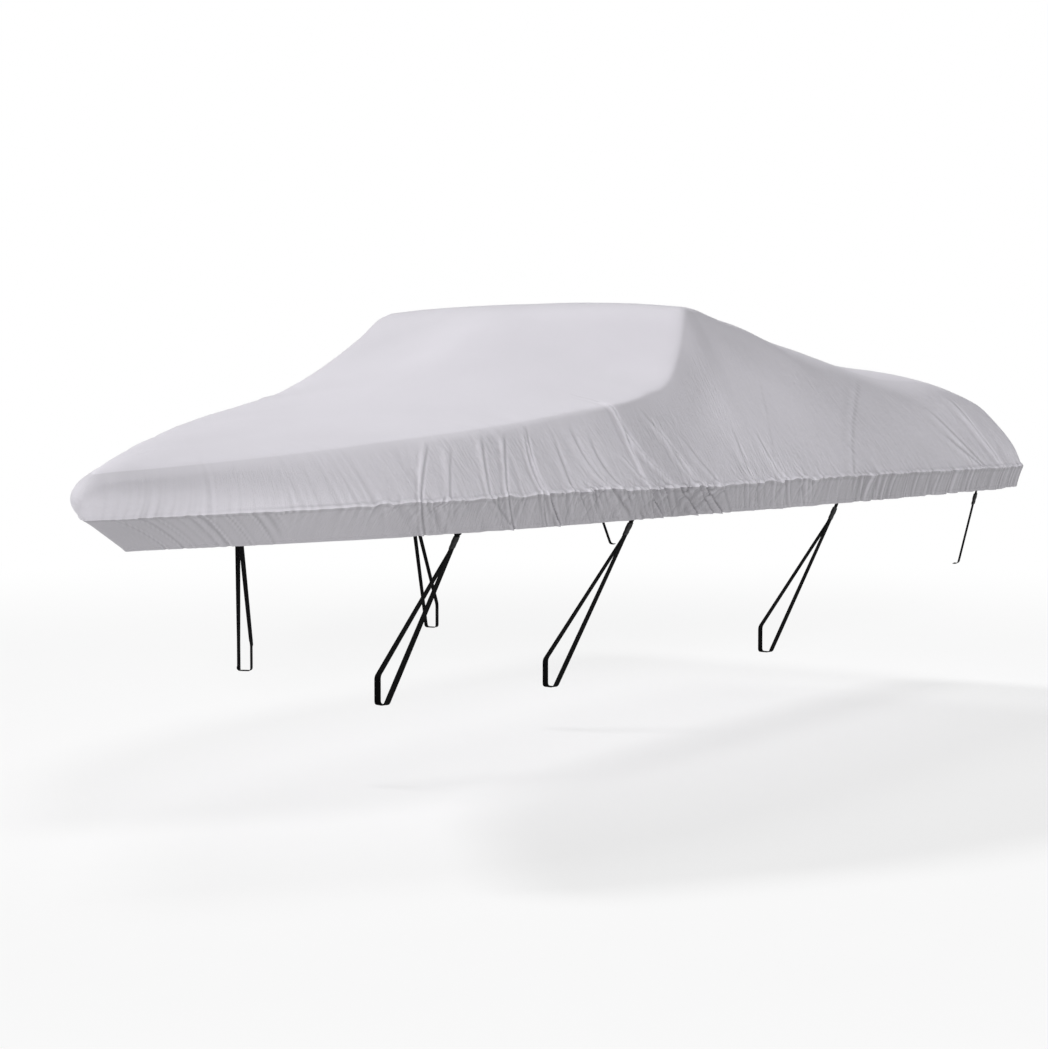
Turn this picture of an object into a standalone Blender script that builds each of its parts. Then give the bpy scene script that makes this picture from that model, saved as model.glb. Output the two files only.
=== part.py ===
"""A fitted boat cover with its tie-down straps, in the shape it takes over a covered bow-rider.

The cover is two sewn cloth panels: the top, which runs from the gunwale seam over the windscreen, and the
skirt below the seam, whose lower edge is the hem. Seven webbing straps hang from the hem, four to port and
three to starboard. Each has a tab, a buckle and a tie: a loop that goes round a trailer rail or, at the
stern, a single strand whose free end turns in under the hull.
"""

from collections import namedtuple

import bmesh
import bpy
import numpy as np
from mathutils import Matrix

# Every size is in metres. Places are given aft of the stem, out from the centreline and up from the
# ground. ORIGIN, just under the cloth over the windscreen header, becomes the world's origin.
ORIGIN = np.array([2.90, 0.0, 1.876])

CLOTH = 0.002
GAP = 0.0003
CROWN = 0.012

# One row for each section of the half cover, from the stem aft and round to the middle of the transom.
# The hem is the lower edge, the seam lies on the gunwale, the edge is the soft shoulder between the side
# and the top, and the ridge is the line along the middle. Soft is how far the shoulder is rounded each
# way, and bulge is how far the side stands out between the seam and the edge. Lean is how much higher the
# port side stands, and how much lower the starboard side, at HEADER_END from the middle.
Section = namedtuple(
    "Section",
    "hem_x hem_y hem_z seam_x seam_y seam_z edge_x edge_y edge_z ridge_x ridge_z soft bulge lean",
)
SECTIONS = (
    Section(0.255, 0.000, 1.061, 0.030, 0.000, 1.189, 0.065, 0.000, 1.344, 0.380, 1.402, 0.034, 0.055, 0.000),
    Section(0.280, 0.022, 1.062, 0.065, 0.046, 1.191, 0.110, 0.035, 1.350, 0.400, 1.405, 0.034, 0.055, 0.000),
    Section(0.345, 0.076, 1.064, 0.180, 0.132, 1.193, 0.235, 0.105, 1.358, 0.460, 1.410, 0.034, 0.055, 0.000),
    Section(0.470, 0.180, 1.067, 0.360, 0.268, 1.197, 0.430, 0.210, 1.371, 0.580, 1.411, 0.034, 0.045, 0.000),
    Section(0.695, 0.365, 1.072, 0.625, 0.487, 1.203, 0.700, 0.350, 1.389, 0.780, 1.423, 0.034, 0.030, 0.003),
    Section(0.990, 0.622, 1.083, 0.950, 0.725, 1.216, 1.050, 0.515, 1.413, 1.100, 1.448, 0.034, 0.018, 0.006),
    Section(1.405, 0.874, 1.094, 1.400, 0.906, 1.220, 1.500, 0.685, 1.450, 1.520, 1.500, 0.034, 0.010, 0.006),
    Section(1.900, 0.998, 1.092, 1.900, 1.028, 1.215, 1.950, 0.790, 1.488, 1.950, 1.570, 0.035, 0.004, 0.006),
    Section(2.400, 1.067, 1.086, 2.400, 1.097, 1.199, 2.420, 0.862, 1.545, 2.360, 1.690, 0.030, 0.000, 0.002),
    Section(2.630, 1.083, 1.080, 2.630, 1.113, 1.192, 2.650, 0.842, 1.618, 2.550, 1.770, 0.030, 0.000, -0.012),
    Section(2.770, 1.088, 1.077, 2.770, 1.118, 1.188, 2.810, 0.792, 1.726, 2.670, 1.825, 0.030, 0.000, -0.004),
    Section(2.910, 1.090, 1.072, 2.910, 1.120, 1.185, 2.930, 0.745, 1.843, 2.800, 1.866, 0.030, 0.000, 0.018),
    Section(3.050, 1.091, 1.067, 3.050, 1.121, 1.182, 3.051, 0.713, 1.852, 2.929, 1.883, 0.050, 0.001, 0.024),
    Section(3.500, 1.088, 1.054, 3.500, 1.118, 1.169, 3.450, 0.680, 1.795, 3.350, 1.834, 0.100, 0.010, 0.015),
    Section(4.200, 1.074, 1.033, 4.200, 1.104, 1.144, 4.120, 0.680, 1.669, 4.050, 1.732, 0.160, 0.030, 0.001),
    Section(4.900, 1.050, 1.013, 4.900, 1.080, 1.118, 4.780, 0.730, 1.545, 4.700, 1.615, 0.220, 0.034, 0.000),
    Section(5.450, 1.025, 0.997, 5.450, 1.055, 1.097, 5.230, 0.830, 1.474, 5.050, 1.560, 0.090, 0.034, 0.000),
    Section(5.640, 0.998, 0.994, 5.655, 1.020, 1.091, 5.510, 0.848, 1.391, 5.180, 1.550, 0.060, 0.034, 0.000),
    Section(5.690, 0.870, 0.993, 5.715, 0.880, 1.089, 5.562, 0.700, 1.434, 5.220, 1.545, 0.060, 0.034, 0.000),
    Section(5.700, 0.450, 0.992, 5.730, 0.450, 1.088, 5.575, 0.350, 1.470, 5.250, 1.542, 0.070, 0.034, 0.000),
    Section(5.705, 0.000, 0.992, 5.735, 0.000, 1.088, 5.580, 0.000, 1.482, 5.270, 1.540, 0.070, 0.034, 0.000),
)
OUTWARD_COLUMNS = ("hem_y", "seam_y", "edge_y")

# Where the columns of faces stand, as a start and end along the seam and how many fit between them.
COLUMN_SPANS = ((0.0, 1.1, 11), (1.1, 1.9, 8), (1.9, 4.0, 29), (4.0, 6.1, 13), (6.1, 7.2, 9))
TOP_ROWS = (0.0, 0.14, 0.32, 0.52, 0.72, 0.88, 1.0, 1.13, 1.35, 1.66, 2.0)
SKIRT_ROWS = (-1.0, -0.5, 0.0)
SEAM_ROW = np.zeros(1)

PORT = -1
STARBOARD = 1

HEADER_END = 0.745

# The main creases: where each one ends above, how far up the section that is (0 seam, 1 shoulder, 2 ridge),
# and where it crosses the seam and meets the hem, all measured aft of the stem.
Crease = namedtuple("Crease", "head_x head_up seam_x hem_x depth width")
PORT_CREASES = (
    Crease(1.14, 0.98, 0.99, 1.05, 0.008, 0.040),
    Crease(1.38, 0.98, 1.28, 1.33, 0.007, 0.032),
    Crease(1.50, 1.00, 1.36, 1.41, 0.010, 0.045),
    Crease(1.63, 1.05, 1.53, 1.63, 0.013, 0.050),
    Crease(1.86, 1.00, 1.83, 1.90, 0.010, 0.060),
    Crease(2.30, 1.40, 2.09, 2.24, 0.016, 0.055),
    Crease(2.16, 1.00, 2.21, 2.45, 0.014, 0.055),
    Crease(2.31, 1.00, 2.39, 2.64, 0.015, 0.060),
    Crease(3.40, 0.80, 2.98, 2.94, 0.012, 0.120),
)
STARBOARD_CREASES = (
    Crease(1.18, 0.98, 1.02, 1.06, 0.009, 0.045),
    Crease(1.60, 1.02, 1.48, 1.56, 0.012, 0.055),
    Crease(2.20, 1.20, 2.08, 2.12, 0.015, 0.055),
    Crease(2.34, 1.00, 2.34, 2.56, 0.014, 0.060),
    Crease(3.30, 0.80, 3.04, 3.00, 0.012, 0.120),
)

# The straps: where each one is sewn to the hem, aft of the stem, and the place it reaches down to. A looped
# strap goes round the lower outer corner of a trailer rail that stands splay degrees off the centreline.
# The other straps end there, at the edge of the hull's bottom.
Strap = namedtuple("Strap", "name side looped hem_x foot_x foot_y foot_z splay width")
STRAPS = (
    Strap("bow_port", PORT, True, 1.190, 1.260, 0.415, 0.428, 19, 0.030),
    Strap("fore_port", PORT, True, 2.035, 2.030, 0.680, 0.428, 13, 0.030),
    Strap("mid_port", PORT, True, 3.630, 3.450, 0.868, 0.428, 8, 0.030),
    Strap("stern_port", PORT, False, 5.120, 5.170, 0.931, 0.664, 0, 0.022),
    Strap("fore_starboard", STARBOARD, True, 2.300, 1.745, 0.632, 0.435, 19, 0.030),
    Strap("mid_starboard", STARBOARD, True, 3.630, 3.450, 0.868, 0.428, 8, 0.030),
    Strap("stern_starboard", STARBOARD, False, 5.120, 5.170, 0.931, 0.664, 0, 0.022),
)
WEBBING = 0.002
RAIL_WIDTH = 0.051
RAIL_HEIGHT = 0.102
BEND = 0.012
BEND_STEPS = 2
LOOP_STEP = 0.12
LAYER_SPACE = 0.0012
TURNED_END = 0.024
TAB_ROWS = (-0.70, -0.84, -0.99)
TAB_SEAT = 0.0009
TAB_MARGIN = 0.004
TAB_DROP = 0.005
TAB_REACH = 0.008
COLUMN_SPACE = 0.02
POCKET_DEPTH = 0.012
BUCKLE_WALL = 0.0026
BUCKLE_LENGTH = 0.052


def at_row(name):
    return Section._fields.index(name)


def seam_distances():
    """Distance along the seam from the stem to each section."""
    rows = np.array(SECTIONS)
    seam = rows[:, at_row("seam_x") : at_row("seam_z") + 1]
    steps = np.linalg.norm(np.diff(seam, axis=0), axis=1)
    return np.concatenate([[0.0], np.cumsum(steps)])


def between_sections(along):
    """The table's columns at each distance along the seam, on a smooth curve through the rows.

    The row past each end is the mirror image of the row before it, so that the halves meet squarely.
    """
    knots = seam_distances()
    rows = np.array(SECTIONS)
    mirror = np.ones(rows.shape[1])
    mirror[[at_row(name) for name in OUTWARD_COLUMNS]] = -1
    knots = np.concatenate([[-knots[1]], knots, [2 * knots[-1] - knots[-2]]])
    rows = np.vstack([rows[1] * mirror, rows, rows[-2] * mirror])
    width = np.diff(knots)[:, None]
    slope = np.diff(rows, axis=0) / width
    tangent = (slope[:-1] * width[1:] + slope[1:] * width[:-1]) / (width[1:] + width[:-1])
    place = np.clip(np.searchsorted(knots, along, side="right") - 1, 1, len(knots) - 3)
    step = width[place]
    s = ((along - knots[place]) / step[:, 0])[:, None]
    start, end = rows[place], rows[place + 1]
    leave, reach = tangent[place - 1] * step, tangent[place] * step
    return (
        start * (2 * s**3 - 3 * s**2 + 1)
        + leave * (s**3 - 2 * s**2 + s)
        + end * (3 * s**2 - 2 * s**3)
        + reach * (s**3 - s**2)
    )


def unit(vectors):
    return vectors / np.linalg.norm(vectors, axis=-1, keepdims=True)


def outward(seam):
    """Horizontal directions that point away from the boat along the seam."""
    run = np.gradient(seam[:, :2], axis=0)
    run[0] = (0.0, 1.0)
    run[-1] = (0.0, -1.0)
    run = unit(run)
    return np.stack([-run[:, 1], run[:, 0], np.zeros(len(run))], axis=1)


def smooth_cloth(along, up):
    """Points of the half cover without creases: one row for each distance along, one column for each up."""
    rows = between_sections(along)
    field = {name: rows[:, column] for column, name in enumerate(Section._fields)}
    hem = np.stack([field["hem_x"], field["hem_y"], field["hem_z"]], axis=1)[:, None]
    seam = np.stack([field["seam_x"], field["seam_y"], field["seam_z"]], axis=1)[:, None]
    edge = np.stack([field["edge_x"], field["edge_y"], field["edge_z"]], axis=1)[:, None]
    ridge = np.stack([field["ridge_x"], 0 * field["ridge_x"], field["ridge_z"]], axis=1)[:, None]
    bulge = field["bulge"][:, None, None] * outward(seam[:, 0])[:, None]
    crown = np.array([0.0, 0.0, CROWN])

    def leg(height):
        height = height[..., None]
        side = seam + (edge - seam) * height + 4 * height * (1 - height) * bulge
        top = edge + (ridge - edge) * (height - 1) + 4 * (height - 1) * (2 - height) * crown
        skirt = seam + (hem - seam) * -height
        return np.where(height < 0, skirt, np.where(height < 1, side, top))

    soft = field["soft"][:, None]
    below = np.minimum(soft / np.linalg.norm(edge - seam, axis=-1), 0.45)
    above = np.minimum(soft / np.linalg.norm(ridge - edge, axis=-1), 0.45)
    up = np.broadcast_to(up, (len(along), len(up)))
    turn = np.clip((up - 1 + below) / (below + above), 0, 1)[..., None]
    rounded = (1 - turn) ** 2 * leg(1 - below) + 2 * turn * (1 - turn) * edge + turn**2 * leg(1 + above)
    corner = (up > 1 - below) & (up < 1 + above)
    return np.where(corner[..., None], rounded, leg(up))


def cloth_normals(points):
    """Outward directions of a grid of points of the half cover."""
    run = np.gradient(points, axis=0)
    run[0] = (0.0, 1.0, 0.0)
    run[-1] = (0.0, -1.0, 0.0)
    rise = np.gradient(points, axis=1)
    normals = unit(np.cross(rise, run))
    on_centreline = points[..., 1] < 1e-9
    normals[on_centreline, 1] = 0.0
    return unit(normals)


def crease_depth(creases, aft, up):
    """How far the cloth is drawn in at each place by all the creases."""
    depth = np.zeros(np.broadcast_shapes(aft.shape, up.shape))
    for crease in creases:
        share = np.maximum(up, 0) / crease.head_up
        line = crease.seam_x + (crease.head_x - crease.seam_x) * share
        line = line + (crease.hem_x - crease.seam_x) * np.maximum(-up, 0)
        fade = np.clip(3 * (1 - share), 0, 1)
        depth += crease.depth * fade * np.exp(-(((aft - line) / crease.width) ** 2))
    return depth


def cloth(along, up, side):
    """Outer points of one half of the cover in its own places, and the directions out of it."""
    points = smooth_cloth(along, up)
    normals = cloth_normals(points)
    normals[:, up == 0] = outward(smooth_cloth(along, SEAM_ROW)[:, 0])[:, None]
    creases = PORT_CREASES if side == PORT else STARBOARD_CREASES
    rows = between_sections(along)
    aft = rows[:, at_row("seam_x")][:, None]
    level = np.broadcast_to(up, (len(along), len(up)))
    points = points - normals * crease_depth(creases, aft, level)[..., None]
    lean = rows[:, at_row("lean")][:, None] * np.clip(level, 0, 1)
    points[..., 2] -= side * lean * points[..., 1] / HEADER_END
    flip = np.array([1.0, side, 1.0])
    return points * flip, normals * flip


def along_at(seam_x):
    """The distance along the seam at which a side of the cover is this far aft."""
    along = np.linspace(0, seam_distances()[-1], 2000)
    aft = between_sections(along)[:, at_row("seam_x")]
    return np.interp(seam_x, aft[: np.argmax(aft)], along[: np.argmax(aft)])


def columns():
    """Distances along the seam of the columns of faces, with one flat face behind each strap's tab."""
    spans = [np.linspace(start, end, count, endpoint=False) for start, end, count in COLUMN_SPANS]
    last = COLUMN_SPANS[-1][1]
    plain = np.concatenate(spans + [[last]]) * seam_distances()[-1] / last
    straps = np.array([along_at(strap.hem_x) for strap in STRAPS])[:, None]
    half = np.array([strap.width / 2 + TAB_MARGIN for strap in STRAPS])[:, None]
    clear = np.all(np.abs(plain - straps) > half + COLUMN_SPACE, axis=0)
    return np.unique(np.concatenate([plain[clear], (straps - half).ravel(), (straps + half).ravel()]))


def grid_faces(first, across, rows, turned):
    """Triangles of a grid of across by rows vertices that starts at vertex first.

    Both layers of a panel are split along the same diagonals, so that neither passes through the other.
    The diagonals turn over halfway, so that none at either end of the ridge lies in the middle plane.
    """
    faces = []
    for column in range(across - 1):
        for row in range(rows - 1):
            low = first + column * rows + row
            high, low_aft, high_aft = low + 1, low + rows, low + rows + 1
            if column < across // 2:
                triangles = ((low, low_aft, high), (low_aft, high_aft, high))
            else:
                triangles = ((low, low_aft, high_aft), (low, high_aft, high))
            faces += [triangle[::-1] if turned else triangle for triangle in triangles]
    return faces


def rim_faces(outer, inner, across, rows, row):
    faces = []
    for column in range(across - 1):
        here = column * rows + row
        there = here + rows
        faces.append((outer + here, outer + there, inner + there, inner + here))
    return faces


def material(name, colour, roughness):
    made = bpy.data.materials.new(name)
    made.use_nodes = True
    shader = made.node_tree.nodes["Principled BSDF"]
    shader.inputs["Base Color"].default_value = (*colour, 1.0)
    shader.inputs["Roughness"].default_value = roughness
    shader.inputs["Metallic"].default_value = 0.0
    return made


def make_object(name, vertices, faces, finish):
    """A closed mesh object from vertices in design places, with its doubled vertices merged."""
    mesh = bpy.data.meshes.new(name)
    mesh.from_pydata([tuple(point) for point in np.asarray(vertices) - ORIGIN], [], faces)
    work = bmesh.new()
    work.from_mesh(mesh)
    bmesh.ops.remove_doubles(work, verts=work.verts, dist=1e-6)
    bmesh.ops.recalc_face_normals(work, faces=work.faces)
    work.to_mesh(mesh)
    work.free()
    mesh.materials.append(finish)
    made = bpy.data.objects.new(name, mesh)
    bpy.context.collection.objects.link(made)
    return made


def make_panel(name, rows, open_rows, finish):
    """One cloth panel right round the boat. Its open rows are the cut edges that a rim closes."""
    along = columns()
    up = np.array(rows)
    vertices, faces = [], []
    for side in (PORT, STARBOARD):
        outer, normals = cloth(along, up, side)
        if rows[-1] == 0:
            outer[:, -1, 2] -= GAP
        inner = outer - normals * CLOTH
        first_outer = len(vertices)
        vertices.extend(outer.reshape(-1, 3))
        first_inner = len(vertices)
        vertices.extend(inner.reshape(-1, 3))
        faces += grid_faces(first_outer, len(along), len(up), turned=False)
        faces += grid_faces(first_inner, len(along), len(up), turned=True)
        for row in open_rows:
            faces += rim_faces(first_outer, first_inner, len(along), len(up), row)
    return make_object(name, vertices, faces, finish)


def on_skirt(hem_x, up, side):
    """Outer points and directions of the faceted skirt, one for each up, over a place on the hem."""
    along = columns()
    points, normals = cloth(along, np.array(up), side)
    after = int(np.searchsorted(along, along_at(hem_x)))
    point = (points[after - 1] + points[after]) / 2
    across = unit(points[after] - points[after - 1])
    fall = np.gradient(point, axis=0)
    return point, unit(np.cross(fall, across) * -side), across


def rounded_path(corners, reach, steps):
    """The corners' path with each inner corner turned into a short curve."""
    path = [corners[0]]
    for before, corner, after in zip(corners, corners[1:-1], corners[2:]):
        start = corner + unit(before - corner) * reach
        end = corner + unit(after - corner) * reach
        for step in range(steps + 1):
            s = step / steps
            path.append((1 - s) ** 2 * start + 2 * s * (1 - s) * corner + s**2 * end)
    path.append(corners[-1])
    return np.array(path)


def spaced(path, most):
    """The path with points added, so that none is further than most from the next."""
    points = [path[0]]
    for here, there in zip(path, path[1:]):
        count = int(np.ceil(np.linalg.norm(there - here) / most))
        points += [here + (there - here) * step / count for step in range(1, count + 1)]
    return np.array(points)


def ribbon(name, path, across, width, finish):
    """A strip of webbing whose middle follows path, its width held along across at each point.

    The faces on its two flat sides start at matching corners, so that both sides of a twisted strip are
    split along the same diagonal and its thickness holds.
    """
    tangent = unit(np.gradient(path, axis=0))
    across = unit(across - tangent * np.sum(across * tangent, axis=1, keepdims=True))
    normal = np.cross(tangent, across)
    vertices, faces = [], []
    for place, wide, thick in zip(path, across * width / 2, normal * WEBBING / 2):
        vertices += [place - wide - thick, place + wide - thick, place + wide + thick, place - wide + thick]
    last = len(vertices) - 4
    for first in range(0, last, 4):
        for corner in range(0, 4, 2):
            beside, back = corner + 1, (corner + 3) % 4
            faces.append((first + corner, first + beside, first + beside + 4, first + corner + 4))
            faces.append((first + corner, first + corner + 4, first + back + 4, first + back))
    faces.append((3, 2, 1, 0))
    faces.append((last, last + 1, last + 2, last + 3))
    return make_object(name, vertices, faces, finish)


def make_buckle(name, centre, pull, across, width, finish):
    """A moulded buckle: a block with an open pocket at each end, where the webbing goes in."""
    thickness = 2 * (WEBBING + BUCKLE_WALL + GAP) + LAYER_SPACE
    size = (width + 2 * (BUCKLE_WALL + GAP), thickness, BUCKLE_LENGTH)
    work = bmesh.new()
    bmesh.ops.create_cube(work, size=1.0)
    bmesh.ops.scale(work, vec=size, verts=work.verts)
    for face in [face for face in work.faces if abs(face.normal.z) > 0.9]:
        push = face.normal * -POCKET_DEPTH
        bmesh.ops.inset_individual(work, faces=[face], thickness=BUCKLE_WALL)
        pocket = bmesh.ops.extrude_discrete_faces(work, faces=[face])["faces"]
        bmesh.ops.translate(work, vec=push, verts=pocket[0].verts)
    mesh = bpy.data.meshes.new(name)
    work.to_mesh(mesh)
    work.free()
    mesh.materials.append(finish)
    made = bpy.data.objects.new(name, mesh)
    bpy.context.collection.objects.link(made)
    turn = Matrix((across, np.cross(-pull, across), -pull)).transposed().to_4x4()
    made.matrix_world = Matrix.Translation(centre - ORIGIN) @ turn
    return made


def loop_path(strap, start, leave, apart, foot):
    """The way of a loop from the buckle round the rail and back, and the direction across it at each point.

    The webbing lies flat on the rail and turns on its way up to face as the buckle does.
    """
    splay = np.radians(strap.splay)
    inboard = np.array([np.sin(splay), -strap.side * np.cos(splay), 0.0])
    inner_low = foot + inboard * (RAIL_WIDTH + WEBBING)
    inner_high = inner_low + np.array([0.0, 0.0, RAIL_HEIGHT + WEBBING])
    corners = [start + apart, leave + apart, foot, inner_low, inner_high, leave - apart, start - apart]
    path = spaced(rounded_path(corners, BEND, BEND_STEPS), LOOP_STEP)
    along_rail = np.cross(inboard, [0.0, 0.0, -strap.side])
    rise = np.clip((path[:, 2:] - inner_high[2]) / (leave[2] - inner_high[2]), 0, 1)
    return path, along_rail, rise


def make_strap(strap, webbing, plastic):
    """The tab that is sewn inside the hem, its buckle, and the tie that hangs from the buckle."""
    inward = WEBBING / 2 + CLOTH + TAB_SEAT
    point, normals, hem_line = on_skirt(strap.hem_x, TAB_ROWS, strap.side)
    seat = point - normals * inward
    foot = np.array([strap.foot_x, strap.side * strap.foot_y, strap.foot_z - WEBBING / 2])
    skew = strap.width / 2 * abs(unit(foot - seat[-1])[0])
    below = seat[-1] + unit(seat[-1] - seat[-2]) * (TAB_DROP + skew)
    pull = unit(foot - below)
    fore_aft = np.array([1.0, 0.0, 0.0])
    across = unit(fore_aft - pull * pull[0])
    reach = TAB_REACH + skew
    tab_path = np.vstack([seat, below, below + pull * reach, below + pull * (reach + POCKET_DEPTH - GAP)])
    facing = np.vstack([hem_line, hem_line[-1], across, across])
    ribbon(f"tab_{strap.name}", tab_path, facing, strap.width, webbing)

    middle = below + pull * (reach + BUCKLE_LENGTH / 2)
    make_buckle(f"buckle_{strap.name}", middle, pull, across, strap.width, plastic)

    mouth = middle + pull * BUCKLE_LENGTH / 2
    start = mouth - pull * (POCKET_DEPTH - GAP)
    if strap.looped:
        apart = np.cross(pull, across) * (WEBBING + LAYER_SPACE) / 2
        apart = apart * np.sign(apart[1]) * strap.side
        path, along_rail, rise = loop_path(strap, start, mouth + pull * POCKET_DEPTH, apart, foot)
        facing = unit(along_rail * (1 - rise) + across * rise)
    else:
        turned = foot + np.array([0.0, -strap.side * TURNED_END, 0.0])
        path = rounded_path([start, foot, turned], BEND, BEND_STEPS)
        facing = np.tile(across, (len(path), 1))
    ribbon(f"strap_{strap.name}", path, facing, strap.width, webbing)


def clear_scene():
    for existing in list(bpy.data.objects):
        bpy.data.objects.remove(existing)


def main():
    clear_scene()
    fabric = material("cover_cloth", (0.62, 0.61, 0.64), 0.62)
    skirt = material("skirt_cloth", (0.52, 0.51, 0.54), 0.66)
    make_panel("top_panel", TOP_ROWS, (0,), fabric)
    make_panel("skirt_panel", SKIRT_ROWS, (0, len(SKIRT_ROWS) - 1), skirt)
    webbing = material("strap_webbing", (0.02, 0.02, 0.022), 0.75)
    plastic = material("buckle_plastic", (0.018, 0.018, 0.02), 0.45)
    for strap in STRAPS:
        make_strap(strap, webbing, plastic)


if __name__ == "__main__":
    main()
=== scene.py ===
"""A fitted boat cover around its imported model: the top and skirt panels with their folds, the stitching,
the webbing tabs and ties, and the moulded buckles, on a plain floor in soft light."""

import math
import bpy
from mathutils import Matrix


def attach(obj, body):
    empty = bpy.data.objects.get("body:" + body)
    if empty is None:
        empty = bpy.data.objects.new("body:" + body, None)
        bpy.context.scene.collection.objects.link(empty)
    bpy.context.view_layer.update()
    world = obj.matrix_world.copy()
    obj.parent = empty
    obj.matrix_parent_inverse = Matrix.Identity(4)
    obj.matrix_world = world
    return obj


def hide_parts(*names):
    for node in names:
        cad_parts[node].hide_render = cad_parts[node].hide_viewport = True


bl_info = {
    "name": "Boat Cover",
    "version": (1, 0, 0),
    "blender": (4, 5, 0),
    "location": "3D View > Sidebar > Boat Cover",
    "description": "Makes a fitted boat cover with its stitching, webbing ties and buckles",
    "category": "Add Mesh",
}

from collections import namedtuple

import bmesh
import bpy
import numpy as np
from mathutils import Vector

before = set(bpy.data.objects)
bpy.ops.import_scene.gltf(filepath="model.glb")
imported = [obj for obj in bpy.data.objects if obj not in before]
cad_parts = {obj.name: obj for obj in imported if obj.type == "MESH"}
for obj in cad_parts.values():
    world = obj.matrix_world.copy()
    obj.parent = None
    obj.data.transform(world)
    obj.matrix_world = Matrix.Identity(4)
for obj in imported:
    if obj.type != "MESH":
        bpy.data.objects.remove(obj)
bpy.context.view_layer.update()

# Places are given aft of the stem, out from the centreline and up from the ground, in metres. ORIGIN,
# just under the cloth over the windscreen header, is the world's origin. Crown is how far the top stands up
# between the shoulder and the ridge.
ORIGIN = np.array([2.90, 0.0, 1.876])
CROWN = 0.012
PORT = -1
STARBOARD = 1

# One row for each section of the half cover, from the stem aft and round to the middle of the transom.
# The hem is the lower edge, the seam lies on the gunwale, the edge is the soft shoulder between the side
# and the top, and the ridge is the line along the middle. Soft is how far the shoulder is rounded each
# way, and bulge is how far the side stands out between the seam and the edge. Lean is how much higher the
# port side stands, and how much lower the starboard side, at HEADER_END from the middle.
Section = namedtuple(
    "Section", "hem_x hem_y hem_z seam_x seam_y seam_z edge_x edge_y edge_z ridge_x ridge_z soft bulge lean"
)
SECTIONS = tuple(Section(*row) for row in (
    (0.255, 0.000, 1.061, 0.030, 0.000, 1.189, 0.065, 0.000, 1.344, 0.380, 1.402, 0.034, 0.055, 0.000),
    (0.280, 0.022, 1.062, 0.065, 0.046, 1.191, 0.110, 0.035, 1.350, 0.400, 1.405, 0.034, 0.055, 0.000),
    (0.345, 0.076, 1.064, 0.180, 0.132, 1.193, 0.235, 0.105, 1.358, 0.460, 1.410, 0.034, 0.055, 0.000),
    (0.470, 0.180, 1.067, 0.360, 0.268, 1.197, 0.430, 0.210, 1.371, 0.580, 1.411, 0.034, 0.045, 0.000),
    (0.695, 0.365, 1.072, 0.625, 0.487, 1.203, 0.700, 0.350, 1.389, 0.780, 1.423, 0.034, 0.030, 0.003),
    (0.990, 0.622, 1.083, 0.950, 0.725, 1.216, 1.050, 0.515, 1.413, 1.100, 1.448, 0.034, 0.018, 0.006),
    (1.405, 0.874, 1.094, 1.400, 0.906, 1.220, 1.500, 0.685, 1.450, 1.520, 1.500, 0.034, 0.010, 0.006),
    (1.900, 0.998, 1.092, 1.900, 1.028, 1.215, 1.950, 0.790, 1.488, 1.950, 1.570, 0.035, 0.004, 0.006),
    (2.400, 1.067, 1.086, 2.400, 1.097, 1.199, 2.420, 0.862, 1.545, 2.360, 1.690, 0.030, 0.000, 0.002),
    (2.630, 1.083, 1.080, 2.630, 1.113, 1.192, 2.650, 0.842, 1.618, 2.550, 1.770, 0.030, 0.000, -0.012),
    (2.770, 1.088, 1.077, 2.770, 1.118, 1.188, 2.810, 0.792, 1.726, 2.670, 1.825, 0.030, 0.000, -0.004),
    (2.910, 1.090, 1.072, 2.910, 1.120, 1.185, 2.930, 0.745, 1.843, 2.800, 1.866, 0.030, 0.000, 0.018),
    (3.050, 1.091, 1.067, 3.050, 1.121, 1.182, 3.051, 0.713, 1.852, 2.929, 1.883, 0.050, 0.001, 0.024),
    (3.500, 1.088, 1.054, 3.500, 1.118, 1.169, 3.450, 0.680, 1.795, 3.350, 1.834, 0.100, 0.010, 0.015),
    (4.200, 1.074, 1.033, 4.200, 1.104, 1.144, 4.120, 0.680, 1.669, 4.050, 1.732, 0.160, 0.030, 0.001),
    (4.900, 1.050, 1.013, 4.900, 1.080, 1.118, 4.780, 0.730, 1.545, 4.700, 1.615, 0.220, 0.034, 0.000),
    (5.450, 1.025, 0.997, 5.450, 1.055, 1.097, 5.230, 0.830, 1.474, 5.050, 1.560, 0.090, 0.034, 0.000),
    (5.640, 0.998, 0.994, 5.655, 1.020, 1.091, 5.510, 0.848, 1.391, 5.180, 1.550, 0.060, 0.034, 0.000),
    (5.690, 0.870, 0.993, 5.715, 0.880, 1.089, 5.562, 0.700, 1.434, 5.220, 1.545, 0.060, 0.034, 0.000),
    (5.700, 0.450, 0.992, 5.730, 0.450, 1.088, 5.575, 0.350, 1.470, 5.250, 1.542, 0.070, 0.034, 0.000),
    (5.705, 0.000, 0.992, 5.735, 0.000, 1.088, 5.580, 0.000, 1.482, 5.270, 1.540, 0.070, 0.034, 0.000),
))
# The columns that change sign on the other side of the centreline.
OUTWARD_COLUMNS = ("hem_y", "seam_y", "edge_y")
HEADER_END = 0.745
# The most of a side or of the top, as a share of it, that the rounding of the shoulder takes up.
MOST_SOFT = 0.45
# How finely the seam is measured, to find a place on it and to set out the columns.
SEARCH_POINTS = 2000
MEASURE_POINTS = 4000

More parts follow.
